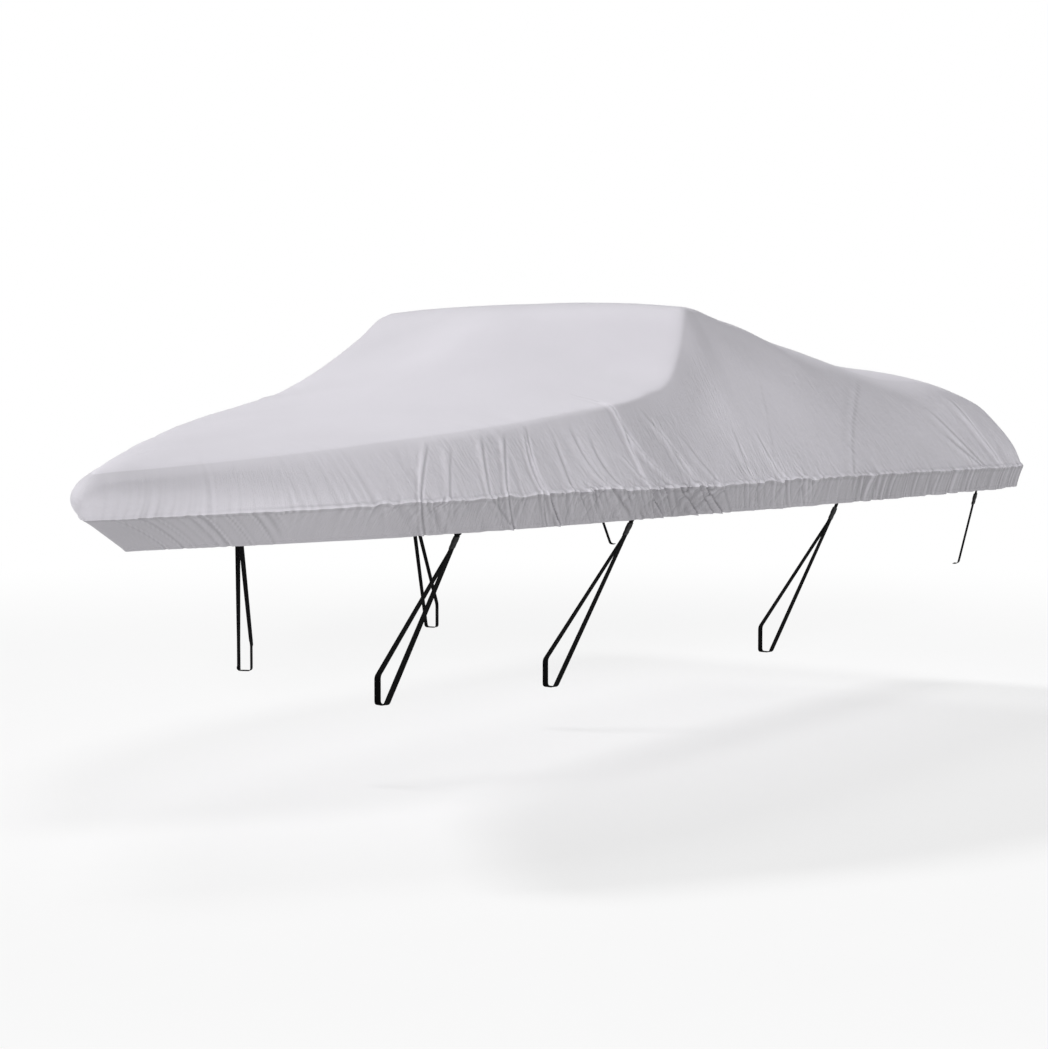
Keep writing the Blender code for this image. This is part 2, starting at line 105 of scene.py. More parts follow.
# Folds that stand out of the cloth. Each one runs from its head, this far up the section (0 seam,
# 1 shoulder, 2 ridge), through a middle point halfway down, to the seam and on down the skirt to the hem.
# The places are distances along the seam from the stem, and width is that of the crest at the middle point.
# Skirt is the share of the height that is left below the seam.
Fold = namedtuple("Fold", "head_up head_s mid_s seam_s hem_s height width skirt")
PORT_FOLDS = (
    Fold(0.95, 1.387, 1.287, 1.222, 1.300, 0.0062, 0.0065, 0.9),
    Fold(0.90, 1.475, 1.395, 1.345, 1.375, 0.0034, 0.0096, 0.3),
    Fold(0.96, 1.632, 1.565, 1.525, 1.663, 0.0055, 0.0082, 0.7),
    Fold(0.95, 1.754, 1.665, 1.604, 1.665, 0.0075, 0.0075, 1.0),
    Fold(0.97, 1.868, 1.793, 1.775, 1.825, 0.0062, 0.0061, 0.4),
    Fold(0.99, 1.891, 1.813, 1.802, 1.894, 0.0102, 0.0068, 1.0),
    Fold(0.85, 1.995, 1.955, 1.935, 1.965, 0.0041, 0.0123, 0.2),
    Fold(0.92, 2.123, 2.089, 2.132, 2.305, 0.0082, 0.0150, 1.1),
    Fold(0.80, 2.205, 2.165, 2.205, 2.365, 0.0048, 0.0137, 0.8),
    Fold(1.28, 2.460, 2.400, 2.365, 2.495, 0.0100, 0.0075, 1.0),
    Fold(0.45, 2.310, 2.341, 2.375, 2.435, 0.0055, 0.0068, 0.6),
    Fold(0.92, 2.425, 2.435, 2.549, 2.725, 0.0102, 0.0096, 1.0),
    Fold(0.90, 2.575, 2.643, 2.720, 2.900, 0.0102, 0.0096, 1.0),
    Fold(0.50, 2.622, 2.647, 2.675, 2.835, 0.0062, 0.0082, 0.7),
    Fold(0.60, 2.735, 2.775, 2.845, 2.965, 0.0048, 0.0150, 0.5),
    Fold(0.35, 3.125, 3.105, 3.095, 3.155, 0.0055, 0.0137, 0.9),
    Fold(0.30, 3.305, 3.315, 3.345, 3.395, 0.0062, 0.0150, 0.9),
    Fold(0.40, 5.162, 5.265, 5.377, 5.395, 0.0055, 0.0205, 0.2),
    Fold(0.85, 5.575, 5.585, 5.615, 5.625, 0.0082, 0.0205, 0.4),
    Fold(0.70, 5.225, 5.305, 5.415, 5.425, 0.0055, 0.0233, 0.2),
)
STARBOARD_FOLDS = (
    Fold(0.95, 1.425, 1.325, 1.265, 1.325, 0.0082, 0.0082, 0.9),
    Fold(0.90, 1.595, 1.515, 1.475, 1.535, 0.0048, 0.0096, 0.5),
    Fold(0.98, 1.855, 1.775, 1.745, 1.805, 0.0096, 0.0075, 1.0),
    Fold(0.90, 2.055, 2.015, 2.035, 2.145, 0.0055, 0.0137, 0.8),
    Fold(1.20, 2.475, 2.365, 2.345, 2.405, 0.0109, 0.0089, 1.0),
    Fold(0.92, 2.535, 2.535, 2.615, 2.845, 0.0096, 0.0096, 1.0),
    Fold(0.55, 2.675, 2.705, 2.755, 2.875, 0.0062, 0.0096, 0.7),
    Fold(0.35, 3.205, 3.195, 3.185, 3.235, 0.0055, 0.0137, 0.9),
    Fold(0.45, 5.155, 5.245, 5.355, 5.375, 0.0055, 0.0205, 0.2),
    Fold(0.85, 5.555, 5.575, 5.615, 5.625, 0.0082, 0.0205, 0.4),
)

# Across a fold, in its widths aft of the crest: a gentle side towards the bow, a steep one aft, a dip close
# behind it and a faint dip well ahead of it.
FOLD_FORWARD = 1.7
FOLD_AFT = 0.75
DIP_DEPTH = 0.7
DIP_AT = 1.55
DIP_WIDTH = 0.8
FAINT_DIP_DEPTH = 0.15
FAINT_DIP_AT = -2.8
FAINT_DIP_WIDTH = 1.2
# A fold's width at the seam as a share of its own, and how much that grows up to the head, where the fold
# fades out over the last part of its length: 1 over FOLD_FADE.
FOLD_NARROW = 0.75
FOLD_SPREAD = 0.5
FOLD_FADE = 2.8

# Short nicks just below the seam, on both sides, where the skirt is pleated into it.
Pleat = namedtuple("Pleat", "seam_s hem_s height width")
PLEATS = (
    Pleat(0.677, 0.689, 0.0024, 0.006),
    Pleat(0.712, 0.725, 0.0036, 0.006),
    Pleat(0.739, 0.749, 0.0021, 0.006),
    Pleat(1.675, 1.720, 0.0045, 0.009),
    Pleat(1.743, 1.775, 0.0039, 0.008),
    Pleat(1.860, 1.933, 0.0045, 0.009),
    Pleat(2.035, 2.125, 0.0039, 0.012),
    Pleat(3.869, 3.892, 0.0063, 0.012),
    Pleat(4.275, 4.255, 0.0036, 0.012),
)
PLEAT_REACH = 0.012

# Rows of small puckers beside the seam. Each lies between two distances along the seam. Pitch is how far
# apart its puckers are and lean is how far they slant, and they fade out over above and below.
Pucker = namedtuple("Pucker", "start end pitch height lean above below")
PUCKERS = (
    Pucker(0.02, 0.85, 0.019, 0.0021, 0.0, 0.070, 0.010),
    Pucker(0.02, 0.80, 0.024, 0.0030, 0.7, 0.004, 0.300),
    Pucker(0.60, 1.10, 0.030, 0.0015, -0.5, 0.060, 0.090),
    Pucker(0.95, 1.50, 0.021, 0.0061, -0.7, 0.022, 0.045),
    Pucker(1.00, 2.00, 0.028, 0.0042, 0.5, 0.030, 0.100),
    Pucker(1.10, 2.30, 0.055, 0.0037, 0.1, 0.300, 0.120),
    Pucker(1.85, 2.95, 0.026, 0.0089, 0.8, 0.026, 0.060),
    Pucker(1.90, 3.00, 0.040, 0.0095, -0.9, 0.035, 0.070),
    Pucker(2.90, 3.70, 0.036, 0.0125, 0.6, 0.040, 0.070),
    Pucker(3.00, 3.90, 0.050, 0.0106, -0.5, 0.055, 0.080),
    Pucker(3.80, 4.40, 0.030, 0.0076, 0.3, 0.025, 0.070),
    Pucker(3.70, 5.40, 0.036, 0.0046, 0.1, 0.012, 0.200),
    Pucker(0.30, 1.40, 0.034, 0.0022, 0.1, 0.160, 0.060),
    Pucker(1.10, 3.00, 0.030, 0.0032, -0.2, 0.200, 0.100),
    Pucker(2.70, 4.60, 0.070, 0.0037, 0.5, 0.220, 0.060),
    Pucker(5.20, 7.15, 0.042, 0.0099, 0.0, 0.018, 0.400),
    Pucker(0.95, 3.10, 0.060, 0.0050, 0.9, 0.010, 0.200),
    Pucker(2.90, 5.30, 0.075, 0.0045, 0.7, 0.010, 0.200),
    Pucker(4.00, 5.50, 0.028, 0.0060, 0.0, 0.012, 0.400),
    Pucker(3.50, 7.10, 0.055, 0.0050, 0.1, 0.030, 0.300),
    Pucker(5.30, 7.15, 0.024, 0.0034, 0.0, 0.010, 0.400),
)
# How much stronger the puckers are on the skirt, and how far a row takes to start and to end.
SKIRT_PUCKERS = 1.9
PUCKER_ENDS = 0.14
# A row's strength varies by this much about its mean, once in so many puckers.
PUCKER_MEAN = 0.65
PUCKER_VARY = 0.35
PUCKER_GROUP = 6
# A pucker is half a soft wave, and a crest with a sharp top and this depth. Its shape comes from smooth
# random curves, each with its own seed, that repeat after so many turns.
PUCKER_WAVE = 0.5
PUCKER_CREST = 0.55
RIPPLE_KNOTS = 512
PUCKER_SEED = 40
PUCKER_GROUP_SEED = 100
# The relief dies away this far from the stem and from the middle of the transom.
END_REACH = 0.05

# Long faint creases from when the cover was folded away, each through these distances along the seam.
PackLine = namedtuple("PackLine", "head_up head_s mid_s seam_s height width")
PACK_LINES = (
    PackLine(0.95, 4.915, 4.375, 3.985, 0.0035, 0.014),
    PackLine(0.66, 3.655, 3.465, 3.265, 0.0022, 0.015),
)
# The crease itself, and the small puckers across it, which reach a little wider. It ends as the folds do, and
# dies away this close to the seam.
PACK_CREASE = 0.8
PACK_CROSS = 0.75
PACK_PUCKER = 0.016
PACK_CROSS_WIDTH = 1.4
PACK_FADE = 3
PACK_SEAM_REACH = 0.02
PACK_SEED = 300

# The seam wanders up and down where the cloth is gathered into it: by this much, between these places.
WANDER = 0.0085
WANDER_REACH = 0.045
WANDER_PITCH = 0.045
WANDER_AT = (0.0, 0.9, 1.15, 2.9, 4.3, 5.2, 7.2)
WANDER_SHARE = (0.12, 0.15, 1.0, 1.0, 0.55, 0.25, 0.35)
# It is the sum of a coarse wave and a fine one: their shares, the fine one's pitch and their seeds.
WANDER_COARSE = 0.7
WANDER_FINE = 0.3
WANDER_FINE_PITCH = 0.4
WANDER_COARSE_SEED = 500
WANDER_FINE_SEED = 510

# The seam is felled: the top's edge is turned under and stands out as a ledge that the skirt hangs below.
LEDGE = 0.0052
LEDGE_FLAT = 0.0055
LEDGE_FALL = 0.0115
EDGE_ROUND = 0.0016
SEAM_GROOVE = 0.0007
SEAM_GROOVE_AT = 0.0042
SEAM_GROOVE_WIDTH = 0.0016
SKIRT_STAND = 0.0036
SKIRT_STAND_REACH = 0.030
PANEL_GAP = 0.0003

# The hem is turned up once and sewn.
HEM_WIDTH = 0.018
HEM_STEP = 0.0012
HEM_STEP_REACH = 0.004
HEM_GROOVE = 0.0007
HEM_GROOVE_WIDTH = 0.0018
HEM_ROUND = 0.0016
HEM_ROUND_REACH = 0.0022

# Soft waves of the cloth where it spans the boat: higher aft of the windscreen, and none at the seam or on
# the middle line.
SWELL_WAVES = 7
SWELL_SEED = 11
SWELL_PITCH = 0.42
SWELL_VARY = (0.7, 1.5)
TOP_SWELL = 0.0012
AFT_SWELL = 0.0030
AFT_START = 2.95
AFT_REACH = 0.5
SWELL_SEAM_REACH = 0.3
SWELL_MIDDLE_REACH = 0.25
# Folds and puckers die away over this share of the top next to the ridge.
RIDGE_REACH = 0.3

# How far apart the columns of vertices are on the port side, at distances along the seam. The starboard
# side has every second column, and the smooth top and the inner faces have every fourth.
SPACING_AT = (0.0, 0.8, 1.05, 1.20, 3.00, 3.40, 4.4, 5.2, 5.5, 7.2)
TOP_SPACING = (0.0062, 0.0062, 0.0050, 0.0036, 0.0036, 0.0056, 0.0100, 0.0100, 0.0085, 0.0085)
SKIRT_SPACING = (0.0042, 0.0042, 0.0034, 0.0030, 0.0030, 0.0034, 0.0054, 0.0054, 0.0044, 0.0044)
STARBOARD_STEP = 2
PLAIN_STEP = 4

# Creases get painted shade and crests a painted highlight: how many columns away a place's neighbours are,
# and how far below them a place lies at the darkest painted shade.
HOLLOW_REACH = 2
HOLLOW_DEPTH = 0.0022

# Where the rows of vertices are: distances up from the seam, then evenly up the side, then shares up over
# the shoulder to the ridge. On the skirt, distances down from the seam and then up from the hem's edge.
SEAM_LIFTS = (0.0, 0.0015, 0.003, 0.005, 0.008, 0.011, 0.014, 0.019, 0.026, 0.034, 0.044)
SIDE_ROWS = 25
TOP_UPS = (1.04, 1.08, 1.13, 1.19, 1.27, 1.38, 1.52, 1.68, 1.84, 2.0)
SEAM_DROPS = (0.0, 0.0015, 0.004, 0.008, 0.014, 0.022)
SKIRT_MIDDLE_ROWS = 7
HEM_RISES = (0.027, 0.021, 0.0185, 0.0165, 0.013, 0.006, 0.002, 0.0006, 0.0)
# The inner faces have fewer rows: these of the top's, every second one from the last of them on, and every
# second one of the skirt's. An inner face lies below the lowest relief within INNER_REACH rows.
TOP_INNER_ROWS = (0, 3, 6, 10)
INNER_STEP = 2
INNER_REACH = 2
MERGE_WITHIN = 1e-6
SHARP_ANGLE = math.radians(50)

# The straps: where each one is sewn to the hem, aft of the stem, and the place it reaches down to. A looped
# strap goes round the lower outer corner of a trailer rail that stands splay degrees off the centreline.
# The two at the stern end there, at the edge of the hull's bottom.
Strap = namedtuple("Strap", "name side looped hem_x foot_x foot_y foot_z splay width")
STRAPS = (
    Strap("bow_port", PORT, True, 1.190, 1.260, 0.415, 0.428, 19, 0.030),
    Strap("fore_port", PORT, True, 2.035, 2.030, 0.680, 0.428, 13, 0.030),
    Strap("mid_port", PORT, True, 3.630, 3.450, 0.868, 0.428, 8, 0.030),
    Strap("stern_port", PORT, False, 5.120, 5.170, 0.931, 0.664, 0, 0.022),
    Strap("fore_starboard", STARBOARD, True, 2.300, 1.745, 0.632, 0.435, 19, 0.030),
    Strap("mid_starboard", STARBOARD, True, 3.630, 3.450, 0.868, 0.428, 8, 0.030),
    Strap("stern_starboard", STARBOARD, False, 5.120, 5.170, 0.931, 0.664, 0, 0.022),
)
RAIL_WIDTH = 0.051
RAIL_HEIGHT = 0.102
# A strap's bends, the most between the points along it, the room between the two layers of a loop in its
# buckle, and the length that is turned in at a free end.
BEND = 0.012
BEND_STEPS = 6
LOOP_STEP = 0.012
TAB_STEP = 0.006
LAYER_SPACE = 0.0012
TURNED_END = 0.024
# A tab is sewn behind the skirt at these shares of its height, which follow on from the two above it. It
# lies this far off the cloth, drops below the hem and then turns towards the foot of its strap.
TAB_LEAD_UPS = (0.0, -0.4)
TAB_UPS = (-0.70, -0.77, -0.84, -0.92, -0.99)
TAB_SEAT = 0.0009
TAB_DROP = 0.005
TAB_REACH = 0.008
# The cloth lies flat this far either side of a tab. The flatness starts at the seam and is full by 1 over
# FLAT_GROWTH of the way down.
FLAT_BY_TAB = 0.036
FLAT_GROWTH = 1.6
# Webbing has round edges of so many points, and its faces are a little thinner along the middle.
WEBBING_EDGE_POINTS = 6
WEBBING_MIDDLE = 0.94
# A buckle's walls, the room round the webbing in it, and the pocket at each end with its opening.
POCKET_DEPTH = 0.012
POCKET_TAPER = 0.985
POCKET_SQUARENESS = 9.0
POCKET_LIP = 0.0015
POCKET_ROOM = (0.0004, 0.0002)
BUCKLE_WALL = 0.0026
BUCKLE_LENGTH = 0.052
BUCKLE_FIT = 0.0003
# One row for each ring of points along a buckle, from the tab's end to the tie's end: where it is as a
# share of the length, and the shares of the full width and thickness there.
Ring = namedtuple("Ring", "at wide thick")
BUCKLE_RINGS = (
    Ring(0.000, 0.985, 0.66), Ring(0.012, 1.000, 0.72), Ring(0.060, 1.000, 0.78), Ring(0.085, 1.000, 0.70),
    Ring(0.120, 1.000, 0.70), Ring(0.145, 1.000, 0.82), Ring(0.230, 1.000, 0.84), Ring(0.255, 0.965, 0.80),
    Ring(0.275, 0.900, 0.78), Ring(0.310, 0.870, 0.80), Ring(0.400, 0.860, 0.84), Ring(0.455, 0.885, 0.88),
    Ring(0.480, 0.960, 0.94), Ring(0.500, 0.990, 0.97), Ring(0.540, 1.000, 1.00), Ring(0.640, 1.000, 1.00),
    Ring(0.760, 1.000, 0.97), Ring(0.800, 1.000, 0.90), Ring(0.825, 1.000, 0.82), Ring(0.850, 1.000, 0.82),
    Ring(0.870, 1.000, 0.90), Ring(0.900, 1.000, 0.90), Ring(0.920, 1.000, 0.82), Ring(0.940, 1.000, 0.82),
    Ring(0.960, 1.000, 0.86), Ring(0.988, 0.995, 0.80), Ring(1.000, 0.980, 0.72),
)
RING_POINTS = 40
RING_SQUARENESS = 5.0
# The two prongs that show in a buckle's sides: where along it each starts and ends, its rings, half its width
# and thickness, how far it stands out at its middle, and how far it sits out from the webbing's edge.
PRONG_ENDS = (-0.013, 0.002)
PRONG_RINGS = 8
PRONG_HALF_SIZE = (0.0017, 0.0030)
PRONG_SQUARENESS = 3.0
PRONG_BULGE = 0.0016
PRONG_STAND = 0.0002

# The stitches' lines start and end this far from the stem and the middle of the transom, and the thread
# stands this share of its thickness out of the cloth. The way out is measured with a row a little further on.
STITCH_END = 0.002
STITCH_POINTS = 3200
STITCH_PROUD = 0.15
NEXT_TOP_ROW = 1.5
NEXT_SKIRT_ROW = 0.03

# Soft changes in a finish: low where a value is at start, and high where it is at end.
Ramp = namedtuple("Ramp", "start end low high")
# By height up the section, 0 at the seam and 1 at the shoulder: the share of the side's wrinkles, what is
# over the shoulder, what lies above the gathers, where the painted shade below the corner lies, where painted
# shade takes over from painted light behind the header, and how much more the painted shade and highlight of
# the creases show on the skirt.
WRINKLED_SIDE = Ramp(1.00, 0.70, 0.10, 1.00)
OVER_SHOULDER = Ramp(0.975, 1.02, 0.00, 1.00)
ABOVE_GATHERS = Ramp(0.12, 0.35, 0.00, 0.55)
CORNER_HIGH = Ramp(0.40, 0.75, 0.00, 0.45)
PAINTED_SHADE_HIGH = Ramp(0.55, 0.88, 0.00, 0.60)
CREASE_SHADING_ON_SKIRT = Ramp(0.00, -0.02, 1.00, 1.25)
# By distance fore and aft of the world's origin: where the bow's wrinkles are calmer, and the painted shade
# at the stem.
CALM_BOW = Ramp(-2.00, -1.40, 0.35, 1.00)
SHADED_STEM = Ramp(-2.25, -2.75, 0.00, 0.42)
# By distance fore and aft from a place on the side: the painted shade by the header and on the cloth below
# its corner, and the place behind it, where the high wrinkles fade and painted light makes the side paler low
# down while painted shade darkens it higher up.
HEADER_AT = -0.60
HEADER_SHADE = Ramp(0.34, 0.00, 0.00, 0.58)
CORNER_AT = -0.12
CORNER_SHADE = Ramp(0.34, 0.10, 0.00, 1.00)
BEHIND_AT = 0.35
BEHIND_HEADER = Ramp(0.70, 0.20, 0.00, 1.00)
# By height above the world's origin, and by distance to starboard: painted light makes the low top paler, and
# painted shade makes its far corner darker.
LOW_TOP = Ramp(-0.08, -0.42, -0.10, 0.42)
FAR_TOP = Ramp(0.10, 0.70, 0.00, 0.45)
FAR_HIGH = Ramp(-0.45, -0.15, 0.00, 1.00)
# By distance from a line beside the seam: a painted highlight along its turned-under edge, and a painted
# shadow on the cloth tucked in below it.
SEAM_HIGHLIGHT_AT = 0.003
SEAM_HIGHLIGHT = Ramp(0.006, 0.001, 0.00, 0.42)
SEAM_SHADOW_AT = -0.008
SEAM_SHADOW = Ramp(0.009, 0.001, 0.00, 0.60)
# The shades that each finish goes between. The cloth has its first at a tone of -1 and its second at 1.
CLOTH_SHADES = (0.8, 1.2)
THREAD_SHADES = (0.8, 1.1)
WEBBING_SHADES = (0.6, 1.9)
BUCKLE_SHADES = (0.7, 1.6)
# How far each pattern changes the cloth's tone: painted light low on the side behind the header, painted
# shade on the side below the shoulder, random unevenness, painted shade and light that follow the fine
# wrinkles, the weave, and painted shade in the creases' troughs with a painted highlight on their crests.
PAINTED_LIGHT_TONE = 0.36
SIDE_SHADE_TONE = 0.06
UNEVEN_TONE = 0.4
DRAWN_SHADING_TONE = 1.3
CRINKLE_SHADING_TONE = 0.7
WEAVE_TONE = 0.04
TROUGH_SHADE_TONE = 1.35
CREST_HIGHLIGHT_TONE = 0.65
# Relief in the cloth's finish: the stretched wrinkles' scales across and along them, how far the slanted
# ones turn, and the heights.
DRAWN_SCALE = (60.0, 5.5, 1.0)
SLANTED_SCALE = (46.0, 9.0, 1.0)
SLANTED_TURN = 0.5
DRAWN_HEIGHT = 0.0075
SLANTED_HEIGHT = 0.0060
CRINKLE_HEIGHT = 0.0042
WEAVE_HEIGHT = 0.0001
# The wrinkles show only where the patches' pattern is strong, and the painted shadow on the tucked-in cloth
# is darkest on crests.
PATCH_GAIN = 1.6
PATCH_LOSS = 0.25
SEAM_SHADOW_LEAST = 0.3
SEAM_SHADOW_CRESTS = 0.9
CLOTH_ROUGHNESS = 0.62
CRINKLE_ROUGHNESS = 0.16
WEAVE_ROUGHNESS = 0.03
# How the webbing is woven: its yarns' pitch as a share of the ribs', and the ribs' share of the weave. Then
# how far the weave and the wear take its colour from dark to pale, and how much duller wear makes it.
YARN_SHARE = 0.9
RIB_SHARE = 0.6
RIB_HEIGHT = 0.00035
WEBBING_TONE = 0.1
WEBBING_WEAVE_TONE = 0.22
WEBBING_WEAR_TONE = 0.7
WEBBING_ROUGHNESS = 0.62
WEAR_ROUGHNESS = 0.2
# The thread's twist, in radians for each metre.
THREAD_TWIST = 5200.0
# The moulded plastic's grain and scuffs.
BUCKLE_ROUGHNESS = 0.42
SCUFF_ROUGHNESS = 0.22
GRAIN_HEIGHT = 0.00006
SCUFF_HEIGHT = 0.00003

# The stage: the floor, which turns to plain white far from the cover, the camera and the suns. A sun's
# spread is its angle, and its bearing goes from the bow to starboard. Its strength is a setting.
FLOOR_HEIGHT = -ORIGIN[2]
FLOOR_REACH = 40.0
FLOOR_SHADES = ((0.86, 0.86, 0.86), (0.88, 0.88, 0.88))
FLOOR_WHITE = Ramp(4.5, 9.0, 0.65, 1.00)
WHITE = (1.0, 1.0, 1.0, 1.0)
LOOKED_AT = (2.8875, 0.0, 0.966)
SENSOR_WIDTH = 36.0
CLIP_END = 200.0
Sun = namedtuple("Sun", "name spread bearing height")
SUNS = (
    Sun("side_light", 8, 80, 36),
    Sun("bow_light", 6, -30, 13),
    Sun("high_light", 20, -60, 62),
    Sun("stern_light", 20, 130, 55),
)


class CoverCloth(bpy.types.PropertyGroup):
    thickness: bpy.props.FloatProperty(
        name="Thickness", description="Thickness of the cloth", default=0.002, min=0.001, max=0.003,
        unit="LENGTH",
    )
    fold_height: bpy.props.FloatProperty(
        name="Fold Height", description="How far the folds stand out, as a share of their height",
        default=1.0, min=0.0, max=2.0, subtype="FACTOR",
    )
    pucker_height: bpy.props.FloatProperty(
        name="Pucker Height", description="How far the puckers stand out, as a share of their height",
        default=1.0, min=0.0, max=2.0, subtype="FACTOR",
    )
    top_colour: bpy.props.FloatVectorProperty(
        name="Top Colour", description="Colour of the cloth above the seam",
        default=(0.690, 0.671, 0.720), min=0.0, max=1.0, size=3, subtype="COLOR",
    )
    # The skirt's cloth is the top's, darkened by painted shade where it turns in under the gunwale.
    skirt_colour: bpy.props.FloatVectorProperty(
        name="Skirt Colour", description="Colour of the cloth below the seam",
        default=(0.420, 0.408, 0.436), min=0.0, max=1.0, size=3, subtype="COLOR",
    )
    yarn_pitch: bpy.props.FloatProperty(
        name="Yarn Pitch", description="Distance between the yarns of the weave", default=0.0011,
        min=0.0004, max=0.004, unit="LENGTH",
    )


class CoverStitching(bpy.types.PropertyGroup):
    pitch: bpy.props.FloatProperty(
        name="Pitch", description="Distance from one stitch to the next", default=0.0075,
        min=0.003, max=0.02, unit="LENGTH",
    )
    length: bpy.props.FloatProperty(
        name="Length", description="Length of a stitch", default=0.0056, min=0.002, max=0.02,
        unit="LENGTH",
    )
    thread: bpy.props.FloatProperty(
        name="Thread", description="Thickness of the thread", default=0.0010, min=0.0003, max=0.003,
        unit="LENGTH",
    )
    colour: bpy.props.FloatVectorProperty(
        name="Thread Colour", description="Colour of the thread",
        default=(0.560, 0.550, 0.580), min=0.0, max=1.0, size=3, subtype="COLOR",
    )


class CoverStraps(bpy.types.PropertyGroup):
    thickness: bpy.props.FloatProperty(
        name="Thickness", description="Thickness of the webbing", default=0.002, min=0.001, max=0.004,
        unit="LENGTH",
    )
    rib_pitch: bpy.props.FloatProperty(
        name="Rib Pitch", description="Distance between the ribs woven across the webbing",
        default=0.0016, min=0.0008, max=0.005, unit="LENGTH",
    )
    webbing_colour: bpy.props.FloatVectorProperty(
        name="Webbing Colour", description="Colour of the webbing",
        default=(0.0022, 0.0022, 0.0024), min=0.0, max=1.0, size=3, subtype="COLOR",
    )
    buckle_colour: bpy.props.FloatVectorProperty(
        name="Buckle Colour", description="Colour of the moulded buckles",
        default=(0.0036, 0.0036, 0.0040), min=0.0, max=1.0, size=3, subtype="COLOR",
    )


class CoverStudio(bpy.types.PropertyGroup):
    heading: bpy.props.FloatProperty(
        name="Heading", description="How far off the bow the camera stands", default=math.radians(32.1),
        subtype="ANGLE",
    )
    elevation: bpy.props.FloatProperty(
        name="Elevation", description="How far the camera looks down", default=math.radians(4.9),
        subtype="ANGLE",
    )
    distance: bpy.props.FloatProperty(
        name="Distance", description="From the camera to the point it looks at", default=14.1435,
        unit="LENGTH",
    )
    focal_length: bpy.props.FloatProperty(
        name="Focal Length", description="Focal length of the lens, in millimetres", default=116.25,
    )
    sky: bpy.props.FloatProperty(
        name="Sky", description="Brightness of the light that comes from all round", default=0.10,
        min=0.0, max=2.0,
    )
    side_light: bpy.props.FloatProperty(
        name="Side Light", description="Strength of the light from starboard", default=1.95, min=0.0, max=5.0,
    )
    bow_light: bpy.props.FloatProperty(
        name="Bow Light", description="Strength of the low light from ahead", default=1.20, min=0.0, max=5.0,
    )
    high_light: bpy.props.FloatProperty(
        name="High Light", description="Strength of the high light from port", default=0.88, min=0.0, max=5.0,
    )
    stern_light: bpy.props.FloatProperty(
        name="Stern Light", description="Strength of the light from astern", default=0.57, min=0.0, max=5.0,
    )


# ---------------------------------------------------------------- the shape of the cloth


def at_row(name):
    return Section._fields.index(name)


def seam_distances():
    """Distance along the seam from the stem to each section."""
    rows = np.array(SECTIONS)
    seam = rows[:, at_row("seam_x") : at_row("seam_z") + 1]
    steps = np.linalg.norm(np.diff(seam, axis=0), axis=1)
    return np.concatenate([[0.0], np.cumsum(steps)])


def between_sections(along):
    """The table's columns at each distance along the seam, on a smooth curve through the rows.

    The row past each end is the mirror image of the row before it, so that the halves meet squarely.
    """
    knots = seam_distances()
    rows = np.array(SECTIONS)
    mirror = np.ones(rows.shape[1])
    mirror[[at_row(name) for name in OUTWARD_COLUMNS]] = -1
    knots = np.concatenate([[-knots[1]], knots, [2 * knots[-1] - knots[-2]]])
    rows = np.vstack([rows[1] * mirror, rows, rows[-2] * mirror])
    width = np.diff(knots)[:, None]
    slope = np.diff(rows, axis=0) / width
    tangent = (slope[:-1] * width[1:] + slope[1:] * width[:-1]) / (width[1:] + width[:-1])
    place = np.clip(np.searchsorted(knots, along, side="right") - 1, 1, len(knots) - 3)
    step = width[place]
    s = ((along - knots[place]) / step[:, 0])[:, None]
    start, end = rows[place], rows[place + 1]
    leave, reach = tangent[place - 1] * step, tangent[place] * step
    return (
        start * (2 * s**3 - 3 * s**2 + 1)
        + leave * (s**3 - 2 * s**2 + s)
        + end * (3 * s**2 - 2 * s**3)
        + reach * (s**3 - s**2)
    )


def unit(vectors):
    return vectors / np.linalg.norm(vectors, axis=-1, keepdims=True)


def lines_of(along):
    """The hem, seam, edge and ridge of the half cover, one point of each for every distance along."""
    rows = between_sections(along)
    field = {name: rows[:, column] for column, name in enumerate(Section._fields)}
    hem = np.stack([field["hem_x"], field["hem_y"], field["hem_z"]], axis=1)
    seam = np.stack([field["seam_x"], field["seam_y"], field["seam_z"]], axis=1)
    edge = np.stack([field["edge_x"], field["edge_y"], field["edge_z"]], axis=1)
    ridge = np.stack([field["ridge_x"], 0 * field["ridge_x"], field["ridge_z"]], axis=1)
    return hem, seam, edge, ridge, field["soft"], field["bulge"]


def outward(seam):
    """Horizontal directions that point away from the boat along the seam."""
    run = np.gradient(seam[:, :2], axis=0)
    run[0] = (0.0, 1.0)
    run[-1] = (0.0, -1.0)
    run = unit(run)
    return np.stack([-run[:, 1], run[:, 0], np.zeros(len(run))], axis=1)


def smooth_cloth(along, up):
    """Points of the half cover without folds, for a row of distances along and a grid of heights up."""
    hem, seam, edge, ridge, soft, bulge = lines_of(along)
    bulge = bulge[:, None, None] * outward(seam)[:, None]
    hem, seam, edge, ridge = (line[:, None] for line in (hem, seam, edge, ridge))
    crown = np.array([0.0, 0.0, CROWN])

    def leg(height):
        height = height[..., None]
        side = seam + (edge - seam) * height + 4 * height * (1 - height) * bulge
        top = edge + (ridge - edge) * (height - 1) + 4 * (height - 1) * (2 - height) * crown
        skirt = seam + (hem - seam) * -height
        return np.where(height < 0, skirt, np.where(height < 1, side, top))

    soft = soft[:, None]
    below = np.minimum(soft / np.linalg.norm(edge - seam, axis=-1), MOST_SOFT)
    above = np.minimum(soft / np.linalg.norm(ridge - edge, axis=-1), MOST_SOFT)
    turn = np.clip((up - 1 + below) / (below + above), 0, 1)[..., None]
    rounded = (1 - turn) ** 2 * leg(1 - below) + 2 * turn * (1 - turn) * edge + turn**2 * leg(1 + above)
    corner = (up > 1 - below) & (up < 1 + above)
    return np.where(corner[..., None], rounded, leg(up))


